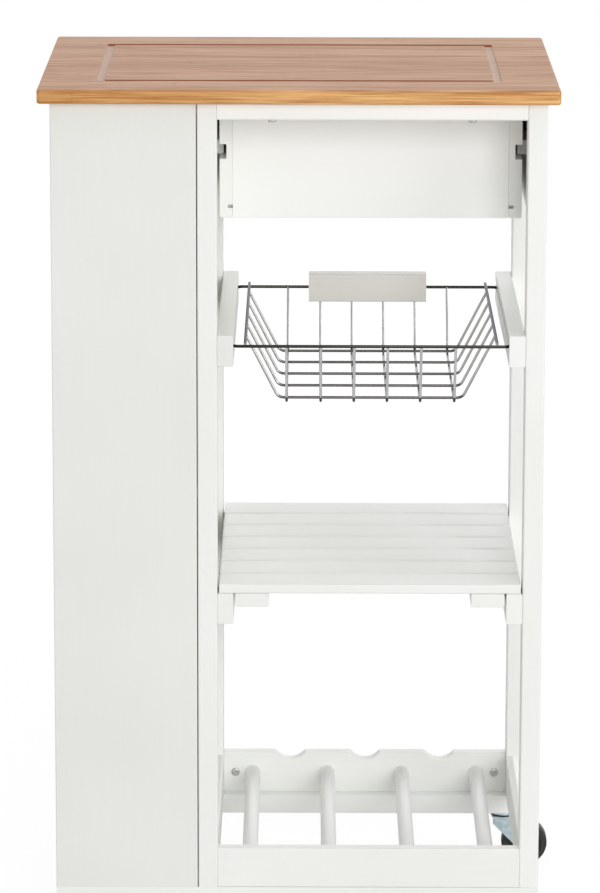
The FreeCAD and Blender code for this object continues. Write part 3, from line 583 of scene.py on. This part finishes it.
def board(name, low, high, ease, material):
    """A board with eased edges, from one corner to the other."""
    low = Vector(low)
    high = Vector(high)
    piece = begin(name, "cube", size=1.0)
    bpy.ops.transform.resize(value=high - low)
    bpy.ops.transform.translate(value=(low + high) / 2)
    bpy.ops.mesh.bevel(offset=ease, segments=2, affect="EDGES")
    end()
    keep_flat(piece)
    settle(piece)
    piece.data.materials.append(material)
    return piece


def moulded_panel(name, low, high, material):
    """The door's panel: each face has a step and a cove all round, where it meets the frame."""
    low = Vector(low)
    high = Vector(high)
    piece = begin(name, "cube", size=1.0)
    bpy.ops.transform.resize(value=high - low)
    bpy.ops.transform.translate(value=(low + high) / 2)
    for side in (1, -1):
        choose("FACE", lambda face: face.normal.y * side > 0.9)
        bpy.ops.mesh.inset(thickness=moulding)
        bpy.ops.mesh.inset(thickness=moulding)
        bpy.ops.transform.translate(value=(0, -side * moulding_step, 0))
        bpy.ops.mesh.inset(thickness=moulding)
        bpy.ops.transform.translate(value=(0, -side * moulding_cove, 0))
    end(smooth_below=50.0)
    settle(piece)
    piece.data.materials.append(material)
    return piece


(door_left, door_near, door_foot), (door_right, door_far, door_head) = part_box("cabinet_door")
door_parts = [
    board("door_stile_left", (door_left, door_near, door_foot),
          (door_left + door_border, door_far, door_head), door_ease, upright_paint),
    board("door_stile_right", (door_right - door_border, door_near, door_foot),
          (door_right, door_far, door_head), door_ease, upright_paint),
    board("door_rail_low", (door_left + door_border, door_near, door_foot),
          (door_right - door_border, door_far, door_foot + door_border), door_ease, level_paint),
    board("door_rail_high", (door_left + door_border, door_near, door_head - door_border),
          (door_right - door_border, door_far, door_head), door_ease, level_paint),
    moulded_panel("door_panel", (door_left + door_border, door_near + panel_inset,
                                 door_foot + door_border),
                  (door_right - door_border, door_far - panel_recess, door_head - door_border),
                  upright_paint)]
for part in door_parts:
    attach(part, "door")
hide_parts("cabinet_door")


def white_plastic():
    """Moulded plastic: off-white, matt, with a fine spark-eroded grain."""
    # A spark-eroded grain is finer; it is drawn coarser so that it shows from close by.
    spark_size = 0.0005
    material, tree, output = blank_material("white_plastic_moulded")
    place = add_node(tree, "ShaderNodeTexCoord").outputs["Object"]
    spark = add_node(tree, "ShaderNodeTexNoise", {"Vector": place,
                                                  "Scale": 1 / spark_size}).outputs["Fac"]
    bump = add_node(tree, "ShaderNodeBump", {"Height": spark, "Strength": 0.15,
                                             "Distance": 0.0001}).outputs[0]
    sheen = add_node(tree, "ShaderNodeMapRange", {"Value": spark, "To Min": 0.5,
                                                  "To Max": 0.66}).outputs[0]
    surface = add_node(tree, "ShaderNodeBsdfPrincipled",
                       {"Base Color": linear(plastic_white), "Roughness": sheen, "Normal": bump,
                        "IOR": 1.46})
    tree.links.new(surface.outputs[0], output.inputs["Surface"])
    return material


dress(nickel, "hinge_leaves_fixed", "hinge_leaves_door", "hinge_pins", "catch_plate")
dress(white_plastic(), "catch_magnet")


# Knobs of the door and the drawer: turned wood, painted as the boards are. Each has a flat foot,
# a waist and a mushroom head.
KNOB_TURNS = ((0.0, 0.0086), (0.0004, 0.009), (0.0022, 0.009), (0.0028, 0.0086),
              (0.0045, 0.0073), (0.0066, 0.0065), (0.0088, 0.0064), (0.0104, 0.0070),
              (0.0124, 0.0098), (0.0142, 0.0120), (0.0158, 0.0129), (0.0174, 0.0130),
              (0.0190, 0.0125), (0.0204, 0.0112), (0.0214, 0.0090), (0.0219, 0.0056),
              (0.0220, 0.0020))
knob = begin("knob", "circle", vertices=48, radius=KNOB_TURNS[0][1], fill_type="NOTHING")
bpy.ops.mesh.select_all(action="SELECT")
for (rise, radius), (next_rise, next_radius) in zip(KNOB_TURNS, KNOB_TURNS[1:]):
    bpy.ops.mesh.extrude_region_move(
        TRANSFORM_OT_translate={"value": (0, 0, next_rise - rise)})
    bpy.ops.transform.resize(value=(next_radius / radius, next_radius / radius, 1),
                             center_override=(0, 0, next_rise))
bpy.ops.mesh.select_all(action="SELECT")
bpy.ops.mesh.fill_holes(sides=0)
end()
settle(knob, turned=(-math.pi / 2, 0, 0))
knob.data.materials.append(painted_wood("satin_white_paint_turned", "Y"))
for node, body in (("door_knob", "door"), ("drawer_knob", "drawer")):
    turned_knob = copy_of(knob, node + "_turned")
    middle = middle_of(node)
    settle(turned_knob, moved=(middle.x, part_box(node)[0][1], middle.z))
    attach(turned_knob, body)
    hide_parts(node)
bpy.data.objects.remove(knob)


# Drawer: grooved sides of painted wood with a back between them, a thin floor in their slots and
# a front that covers the bay. It slides on two wooden runners of the frame.
ease_boards(deep_paint, "drawer", "drawer_side_left", "drawer_side_right")
# Painted light: the drawer's back and front take the whiter copy of the paint.
ease_boards(painted_light_level, "drawer", "drawer_back", "drawer_front")
ease_boards(deep_paint, "frame", "side_apron")
dress(deep_paint, "drawer_floor", "drawer_runners")


# Basket: a rim, two side wires and a net of eleven bent wires, spot-welded and chromed, hung in
# the slots of two painted rails, with a painted wooden handle on the far side of the rim.
net_wire = 0.0014
rim_wire = 0.0016
net_bend = 0.009
rim_bend = 0.008
wall_slope = 0.033
tail = 0.003
CROSS_WIRES = (-0.94, -0.47, 0, 0.47, 0.94)
LONG_WIRES = (-0.91, -0.54, -0.18, 0.18, 0.54, 0.91)
weld_gap = 0.0001
# Painted reflections: the rim's dark tone, the lighter wire tones and the long wires' glance.
chrome_rim = "403F3C"
chrome_rim_dull = "302F2C"
chrome_side = "B0B0AD"
chrome_side_dull = "8E8D89"
chrome_cross = "C4C4C1"
chrome_cross_dull = "A3A29E"
chrome_long = "EDEDF0"
chrome_long_dull = "CBCBCF"
# The dark tone of wires that lie low in the net: a painted reflection.
chrome_painted_reflection = "54534F"
chrome_glance = "83838D"
chrome_bright_glance = "F0F0F2"
painted_reflection_fade = 0.002
# A greyer copy of the paint for the left basket rail: painted shade.
painted_shade_rail_white = "EEEFEB"
painted_shade_rail_tint = "E8E9E5"
# The handle's white paint given as a warm grey: painted shade.
handle_painted_shade_grey = "DEDAD5"
handle_painted_shade_tint = "D6D2CC"


def bent_wire(name, radius, corners, bend, ring=False):
    """Round wire: its section is pushed along each straight run and spun round each bend."""
    corners = [Vector(corner) for corner in corners]
    first = corners[1] - corners[0]
    piece = begin(name, "circle", vertices=14, radius=radius, fill_type="NOTHING",
                  location=corners[0], rotation=first.to_track_quat("Z", "Y").to_euler())
    bpy.ops.object.mode_set(mode="OBJECT")
    settle(piece, turned=piece.rotation_euler, moved=piece.location)
    bpy.ops.object.mode_set(mode="EDIT")
    bpy.ops.mesh.select_all(action="SELECT")
    reached = corners[0]
    for here, peak, there in zip(corners, corners[1:], corners[2:]):
        before = (peak - here).normalized()
        after = (there - peak).normalized()
        angle = before.angle(after)
        set_back = bend * math.tan(angle / 2)
        start = peak - before * set_back
        bpy.ops.mesh.extrude_region_move(TRANSFORM_OT_translate={"value": start - reached})
        # The operator turns clockwise about its axis, so the axis is given the other way round.
        axis = after.cross(before).normalized()
        bpy.ops.mesh.spin(steps=6, angle=angle, center=start + before.cross(axis) * bend,
                          axis=axis)
        reached = peak + after * set_back
    bpy.ops.mesh.extrude_region_move(TRANSFORM_OT_translate={"value": corners[-1] - reached})
    if not ring:
        bpy.ops.mesh.select_all(action="SELECT")
        bpy.ops.mesh.fill_holes(sides=0)
    end(smooth_below=50.0)
    return piece


def chromed_steel(name, colour, dull, glance=chrome_glance, painted_reflection_below=None):
    """Drawn steel wire under chrome, with dull patches.

    Below painted_reflection_below it is painted dark: a painted reflection of what lies under it."""
    dull_length = 0.02
    material, tree, output = blank_material(name)
    place = add_node(tree, "ShaderNodeTexCoord").outputs["Object"]
    patch = add_node(tree, "ShaderNodeTexNoise", {"Vector": place, "Scale": 1 / dull_length,
                                                  "Detail": 3.0}).outputs["Fac"]
    tone = add_node(tree, "ShaderNodeMix", {0: patch, 6: linear(dull), 7: linear(colour)},
                    data_type="RGBA").outputs[2]
    if painted_reflection_below is not None:
        height = add_node(tree, "ShaderNodeSeparateXYZ", {"Vector": place}).outputs[2]
        raised = add_node(tree, "ShaderNodeMapRange",
                          {"Value": height, "From Min": painted_reflection_below,
                           "From Max": painted_reflection_below + painted_reflection_fade}).outputs[0]
        tone = add_node(tree, "ShaderNodeMix", {0: raised, 6: linear(chrome_painted_reflection), 7: tone},
                        data_type="RGBA").outputs[2]
    rough = add_node(tree, "ShaderNodeMapRange", {"Value": patch, "To Min": 0.1,
                                                  "To Max": 0.26}).outputs[0]
    surface = add_node(tree, "ShaderNodeBsdfPrincipled",
                       {"Base Color": tone, "Metallic": 1.0, "Roughness": rough,
                        "Specular Tint": linear(glance)})
    tree.links.new(surface.outputs[0], output.inputs["Surface"])
    return material


net_low, net_high = (Vector(corner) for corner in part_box("basket_net"))
rim_low, rim_high = (Vector(corner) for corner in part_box("basket_rim"))
rim_level = (rim_low.z + rim_high.z) / 2
rim_left, rim_right = rim_low.x + rim_wire, rim_high.x - rim_wire
rim_near, rim_far = rim_low.y + rim_wire, rim_high.y - rim_wire
bay_middle = (rim_left + rim_right) / 2
rim = bent_wire("basket_rim_bent", rim_wire,
                [(bay_middle, rim_near, rim_level), (rim_right, rim_near, rim_level),
                 (rim_right, rim_far, rim_level), (rim_left, rim_far, rim_level),
                 (rim_left, rim_near, rim_level), (bay_middle, rim_near, rim_level)],
                rim_bend, ring=True)
rim.data.materials.append(chromed_steel("chromed_steel_wire_rim", chrome_rim, chrome_rim_dull))
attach(rim, "basket")
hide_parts("basket_rim")

side_left, side_right = net_low.x + rim_wire, net_high.x - rim_wire
side_level = net_high.z - rim_wire
under_level = net_low.z + net_wire
floor_level = under_level + 2 * net_wire + weld_gap
wires = []
# The side wire's middle is a hair higher than its ends, because a bend needs some angle.
side_wire = bent_wire("side_wire_left", rim_wire,
                      [(side_left, rim_near - tail, side_level),
                       (side_left, (rim_near + rim_far) / 2, side_level + no_gap),
                       (side_left, rim_far + tail, side_level)], net_bend)
side_wire.data.materials.append(
    chromed_steel("chromed_steel_wire_side", chrome_side, chrome_side_dull))
wires.append(side_wire)
wires.append(copy_of(side_wire, "side_wire_right"))
settle(wires[-1], moved=(side_right - side_left, 0, 0))
cross_wire = bent_wire("cross_wire", net_wire,
                       [(side_left, 0, side_level), (side_left + wall_slope, 0, floor_level),
                        (side_right - wall_slope, 0, floor_level), (side_right, 0, side_level)],
                       net_bend)
# Wires at the net's floor get the painted dark reflection below this height.
painted_reflection_top = floor_level + net_wire
cross_wire.data.materials.append(
    chromed_steel("chromed_steel_wire_cross", chrome_cross, chrome_cross_dull,
                  painted_reflection_below=painted_reflection_top))
cross_reach = (rim_far - rim_near) / 2 - wall_slope
for count, share in enumerate(CROSS_WIRES):
    wires.append(copy_of(cross_wire, "cross_wire_%d" % count))
    settle(wires[-1], moved=(0, (rim_near + rim_far) / 2 + share * cross_reach, 0))
long_wire = bent_wire("long_wire", net_wire,
                      [(bay_middle, rim_near, rim_level),
                       (bay_middle, rim_near + wall_slope, under_level),
                       (bay_middle, rim_far - wall_slope, under_level),
                       (bay_middle, rim_far, rim_level)], net_bend)
long_wire.data.materials.append(
    chromed_steel("chromed_steel_wire_long", chrome_long, chrome_long_dull,
                  glance=chrome_bright_glance, painted_reflection_below=painted_reflection_top))
long_reach = (side_right - side_left) / 2 - wall_slope
for count, share in enumerate(LONG_WIRES):
    wires.append(copy_of(long_wire, "long_wire_%d" % count))
    settle(wires[-1], moved=(share * long_reach, 0, 0))
bpy.data.objects.remove(cross_wire)
bpy.data.objects.remove(long_wire)
bpy.ops.object.select_all(action="DESELECT")
for wire in wires:
    wire.select_set(True)
net = wires[0]
bpy.context.view_layer.objects.active = net
bpy.ops.object.join()
net.name = "basket_net_bent"
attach(net, "basket")
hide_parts("basket_net")

# Painted shade: the left basket rail takes the greyer copy of the paint.
painted_shade_rail_paint = painted_wood("satin_white_paint_rail_painted_shade", "Y", painted_shade_rail_white, painted_shade_rail_tint)
ease_boards(painted_shade_rail_paint, "frame", "basket_rail_left")
ease_boards(deep_paint, "frame", "basket_rail_right")
# Painted shade: the white handle is painted a warm grey.
dress(painted_wood("white_paint_handle_painted_shade", "X", handle_painted_shade_grey, handle_painted_shade_tint),
      "basket_handle")


# Slatted shelf: seven painted slats laid across two cleats, with a rail under each end of the
# slats, on the inner side of the posts.
slat_edge = 0.001
ease_boards(level_paint, "frame", "shelf_slats", ease=slat_edge)
ease_boards(deep_paint, "frame", "shelf_rails", "shelf_cleats")


# Bottle rack: four turned rods between a plain board and a scalloped one, all painted, with two
# side boards. The rods run from board to board.
rod_count = 4
rod_radius = 0.008
rod_ease = 0.0006
rod_low, rod_high = (Vector(corner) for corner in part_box("bottle_rods"))
rod = begin("bottle_rod", "cylinder", vertices=56, radius=rod_radius,
            depth=rod_high.y - rod_low.y, end_fill_type="NGON")
choose("EDGE", runs_level)
bpy.ops.mesh.bevel(offset=rod_ease, segments=2)
end()
settle(rod, turned=(math.pi / 2, 0, 0))
rod_pitch = (rod_high.x - rod_low.x - 2 * rod_radius) / (rod_count - 1)
# Painted light: the rods take the whiter copy of the paint.
rod_paint = painted_wood("satin_white_paint_turned_rod_painted_light", "Y", painted_light_white, painted_light_tint)
rods = []
for count in range(rod_count):
    rods.append(copy_of(rod, "bottle_rod_%d" % (count + 1)))
    settle(rods[-1], moved=(rod_low.x + rod_radius + count * rod_pitch,
                            (rod_low.y + rod_high.y) / 2, (rod_low.z + rod_high.z) / 2))
    rods[-1].data.materials.append(rod_paint)
    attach(rods[-1], "frame")
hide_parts("bottle_rods")
bpy.data.objects.remove(rod)
ease_boards(level_paint, "frame", "bottle_board_far", "bottle_board_near")
ease_boards(deep_paint, "frame", "rack_sides")


# Screws: zinc-plated pan heads with a cross recess, two up into the worktop through the near top
# rail and two through the scalloped board.
head_radius = 0.0045
head_high = 0.0024
head_dome = 0.0015
recess_long = 0.0058
recess_wide = 0.0014
recess_deep = 0.0016
recess_turn = 0.7
steel_grey = "DADBD8"
steel_dark = "A3A4A1"


def screw_steel():
    """Zinc-plated screw steel, cleared and handled: grey, half bright, marked by the driver."""
    mark_size = 0.0012
    material, tree, output = blank_material("zinc_plated_steel_clear")
    place = add_node(tree, "ShaderNodeTexCoord").outputs["Object"]
    mark = add_node(tree, "ShaderNodeTexNoise", {"Vector": place, "Scale": 1 / mark_size,
                                                 "Detail": 3.0}).outputs["Fac"]
    colour = add_node(tree, "ShaderNodeMix", {0: mark, 6: linear(steel_dark),
                                              7: linear(steel_grey)}, data_type="RGBA").outputs[2]
    rough = add_node(tree, "ShaderNodeMapRange", {"Value": mark, "To Min": 0.28,
                                                  "To Max": 0.45}).outputs[0]
    surface = add_node(tree, "ShaderNodeBsdfPrincipled",
                       {"Base Color": colour, "Metallic": 1.0, "Roughness": rough})
    tree.links.new(surface.outputs[0], output.inputs["Surface"])
    return material


screw = begin("screw_head", "cylinder", vertices=40, radius=head_radius, depth=head_high,
              end_fill_type="NGON", location=(0, 0, head_high / 2))
choose("EDGE", lambda edge: min(vert.co.z for vert in edge.verts) > head_high / 2 - no_gap)
bpy.ops.mesh.bevel(offset=head_dome, segments=5, profile=0.55)
end()
cutter = begin("cross_cutter", "cube", size=1.0)
bpy.ops.transform.resize(value=(recess_long, recess_wide, 2 * recess_deep))
bpy.ops.mesh.duplicate()
bpy.ops.transform.rotate(value=math.pi / 2, orient_axis="Z", center_override=(0, 0, 0))
bpy.ops.mesh.select_all(action="SELECT")
bpy.ops.transform.rotate(value=recess_turn, orient_axis="Z", center_override=(0, 0, 0))
bpy.ops.transform.translate(value=(0, 0, head_high))
bpy.ops.object.mode_set(mode="OBJECT")
bpy.ops.object.select_all(action="DESELECT")
settle(screw, moved=screw.location)
cut = screw.modifiers.new("cross_recess", "BOOLEAN")
cut.operation = "DIFFERENCE"
cut.object = cutter
cut.use_self = True
bpy.ops.object.modifier_apply(modifier=cut.name)
bpy.data.objects.remove(cutter)
bpy.ops.object.shade_smooth_by_angle(angle=math.radians(smooth_limit))
screw.data.materials.append(screw_steel())
rail_low, rail_high = (Vector(corner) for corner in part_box("top_rail_near"))
board_low, board_high = (Vector(corner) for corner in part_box("bottle_board_far"))
rail_screw_inset = 0.0553
rack_screw_inset = 0.013
rail_middle = (rail_low.y + rail_high.y) / 2
SCREWS = ((rail_low.x + rail_screw_inset, rail_middle, rail_low.z, math.pi),
          (rail_high.x - rail_screw_inset, rail_middle, rail_low.z, math.pi),
          (board_low.x + rack_screw_inset, board_low.y, (board_low.z + board_high.z) / 2,
           math.pi / 2),
          (board_high.x - rack_screw_inset, board_low.y, (board_low.z + board_high.z) / 2,
           math.pi / 2))
heads = []
for count, (x, y, z, tipped) in enumerate(SCREWS):
    heads.append(copy_of(screw, "screw_head_%d" % (count + 1)))
    settle(heads[-1], turned=(tipped, 0, 0), moved=(x, y, z))
    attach(heads[-1], "frame")
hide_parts("frame_screws")
bpy.data.objects.remove(screw)


# Worktop: strips of bamboo, glued edge to edge, planed and oiled, with a juice groove routed near
# its rim. The cut edges are a deeper orange, and a painted sheen makes the top a pale, slightly
# pink tan; the groove's floor is paler than the top, and painted shade darkens its long walls.
strip_width = 0.021
knuckle_pitch = 0.27
knuckle_width = 0.0035
fibre_width = 0.0011
fibre_length = 0.075
speck_size = 0.0028
streak_width = 0.0042
streak_length = 0.13
groove_paleness = 0.7
groove_starts = 0.0004
groove_full = 0.0015
strip_shift = (1.3, 0.0, 0.7)
knuckle_shift = 7.31
strip_share = 0.18
streak_share = 0.3
fibre_share = 0.52
bamboo_top_sheen_pale = "EAC3A7"
bamboo_top_sheen_deep = "B58466"
bamboo_fresh = "E6CFC0"
bamboo_edge = "F2BF80"
bamboo_edge_deep = "B07036"
bamboo_dark = "8A6547"
bamboo_groove_shade = "9C5F3E"
rim_clear = 0.012


def oiled_bamboo(face_level, face_middle, face_reach):
    """Bamboo strips: each its own tone, long fine fibres, and darker knuckles across the strip.

    The top has a painted sheen, the groove's long walls painted shade; the outer edges are orange."""
    # Bamboo's fibres are finer; they are drawn coarser so that they show.
    material, tree, output = blank_material("oiled_bamboo_strips")
    place = add_node(tree, "ShaderNodeTexCoord")
    across = add_node(tree, "ShaderNodeSeparateXYZ", {"Vector": place.outputs["Object"]}).outputs
    strip = add_node(tree, "ShaderNodeMath", {0: across["Y"], 1: 1 / strip_width},
                     operation="MULTIPLY").outputs[0]
    strip = add_node(tree, "ShaderNodeMath", {0: strip}, operation="FLOOR").outputs[0]
    chance = add_node(tree, "ShaderNodeTexWhiteNoise", {"W": strip},
                      noise_dimensions="1D").outputs["Value"]
    shift = add_node(tree, "ShaderNodeVectorMath", {0: strip_shift, "Scale": chance},
                     operation="SCALE").outputs[0]
    own = add_node(tree, "ShaderNodeVectorMath", {0: place.outputs["Object"], 1: shift},
                   operation="ADD").outputs[0]
    drawn = add_node(tree, "ShaderNodeVectorMath",
                     {0: own, 1: (1 / fibre_length, 1 / fibre_width, 1 / fibre_width)},
                     operation="MULTIPLY").outputs[0]
    fibre = add_node(tree, "ShaderNodeTexNoise", {"Vector": drawn, "Scale": 1.0, "Detail": 4.0,
                                                  "Roughness": 0.65}).outputs["Fac"]
    fibre = add_node(tree, "ShaderNodeMapRange", {"Value": fibre, "From Min": 0.33,
                                                  "From Max": 0.67}).outputs[0]
    broad = add_node(tree, "ShaderNodeVectorMath",
                     {0: own, 1: (1 / streak_length, 1 / streak_width, 1 / streak_width)},
                     operation="MULTIPLY").outputs[0]
    streak = add_node(tree, "ShaderNodeTexNoise", {"Vector": broad, "Scale": 1.0,
                                                   "Detail": 3.0}).outputs["Fac"]
    streak = add_node(tree, "ShaderNodeMapRange", {"Value": streak, "From Min": 0.35,
                                                   "From Max": 0.65}).outputs[0]
    tone = add_node(tree, "ShaderNodeMath", {0: chance, 1: strip_share},
                    operation="MULTIPLY").outputs[0]
    tone = add_node(tree, "ShaderNodeMath", {0: streak, 1: streak_share, 2: tone},
                    operation="MULTIPLY_ADD").outputs[0]
    tone = add_node(tree, "ShaderNodeMath", {0: fibre, 1: fibre_share, 2: tone},
                    operation="MULTIPLY_ADD").outputs[0]
    tone = add_node(tree, "ShaderNodeMapRange", {"Value": tone, "From Min": 0.22,
                                                 "From Max": 0.78}).outputs[0]
    face = add_node(tree, "ShaderNodeMix", {0: tone, 6: linear(bamboo_top_sheen_deep),
                                            7: linear(bamboo_top_sheen_pale)}, data_type="RGBA").outputs[2]
    edge = add_node(tree, "ShaderNodeMix", {0: tone, 6: linear(bamboo_edge_deep),
                                            7: linear(bamboo_edge)}, data_type="RGBA").outputs[2]
    slope = add_node(tree, "ShaderNodeSeparateXYZ", {"Vector": place.outputs["Normal"]})
    # Faces that look up take the top's colours, paler and pinker: a painted sheen.
    top = add_node(tree, "ShaderNodeMapRange", {"Value": slope.outputs["Z"], "From Min": 0.55,
                                                "From Max": 0.93}).outputs[0]
    sunk = add_node(tree, "ShaderNodeMapRange",
                    {"Value": across["Z"], "From Min": face_level - groove_full,
                     "From Max": face_level - groove_starts, "To Min": groove_paleness,
                     "To Max": 0.0}).outputs[0]
    face = add_node(tree, "ShaderNodeMix", {0: sunk, 6: face, 7: linear(bamboo_fresh)},
                    data_type="RGBA").outputs[2]
    inset = add_node(tree, "ShaderNodeVectorMath",
                     {0: place.outputs["Object"], 1: face_middle}, operation="SUBTRACT").outputs[0]
    inset = add_node(tree, "ShaderNodeVectorMath", {0: inset}, operation="ABSOLUTE").outputs[0]
    inset = add_node(tree, "ShaderNodeVectorMath", {0: inset, 1: face_reach},
                     operation="SUBTRACT").outputs[0]
    inset = add_node(tree, "ShaderNodeSeparateXYZ", {"Vector": inset}).outputs
    inside = add_node(tree, "ShaderNodeMath", {0: inset["X"], 1: inset["Y"]},
                      operation="MAXIMUM").outputs[0]
    inside = add_node(tree, "ShaderNodeMath", {0: inside, 1: -rim_clear},
                      operation="LESS_THAN").outputs[0]
    # The groove's long walls take a darker brown: painted shade.
    lengthwise = add_node(tree, "ShaderNodeMath", {0: slope.outputs["Y"]},
                          operation="ABSOLUTE").outputs[0]
    wall = add_node(tree, "ShaderNodeMix", {0: lengthwise, 6: linear(bamboo_fresh),
                                            7: linear(bamboo_groove_shade)},
                    data_type="RGBA").outputs[2]
    edge = add_node(tree, "ShaderNodeMix", {0: inside, 6: edge, 7: wall},
                    data_type="RGBA").outputs[2]
    wood = add_node(tree, "ShaderNodeMix", {0: top, 6: edge, 7: face},
                    data_type="RGBA").outputs[2]
    along = add_node(tree, "ShaderNodeMath", {0: chance, 1: knuckle_shift, 2: across["X"]},
                     operation="MULTIPLY_ADD").outputs[0]
    along = add_node(tree, "ShaderNodeMath", {0: along, 1: knuckle_pitch},
                     operation="PINGPONG").outputs[0]
    knuckle = add_node(tree, "ShaderNodeMapRange", {"Value": along, "From Min": 0.0,
                                                    "From Max": knuckle_width, "To Min": 1.0,
                                                    "To Max": 0.0}).outputs[0]
    speck = add_node(tree, "ShaderNodeTexNoise", {"Vector": own, "Scale": 1 / speck_size,
                                                  "Detail": 2.0}).outputs["Fac"]
    speck = add_node(tree, "ShaderNodeMapRange", {"Value": speck, "From Min": 0.5,
                                                  "From Max": 0.8}).outputs[0]
    mark = add_node(tree, "ShaderNodeMath", {0: knuckle, 1: speck},
                    operation="MULTIPLY").outputs[0]
    colour = add_node(tree, "ShaderNodeMix", {0: mark, 6: wood, 7: linear(bamboo_dark)},
                      data_type="RGBA").outputs[2]
    sheen = add_node(tree, "ShaderNodeMapRange", {"Value": fibre, "To Min": 0.72,
                                                  "To Max": 0.6}).outputs[0]
    bump = add_node(tree, "ShaderNodeBump", {"Height": fibre, "Strength": 0.12,
                                             "Distance": 0.0002}).outputs[0]
    surface = add_node(tree, "ShaderNodeBsdfPrincipled",
                       {"Base Color": colour, "Roughness": sheen, "Normal": bump, "IOR": 1.5,
                        "Specular IOR Level": 0.25})
    tree.links.new(surface.outputs[0], output.inputs["Surface"])
    return material


top_low, top_high = (Vector(corner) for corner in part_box("worktop"))
dress(oiled_bamboo(top_high.z, (top_low + top_high) / 2, (top_high - top_low) / 2), "worktop")
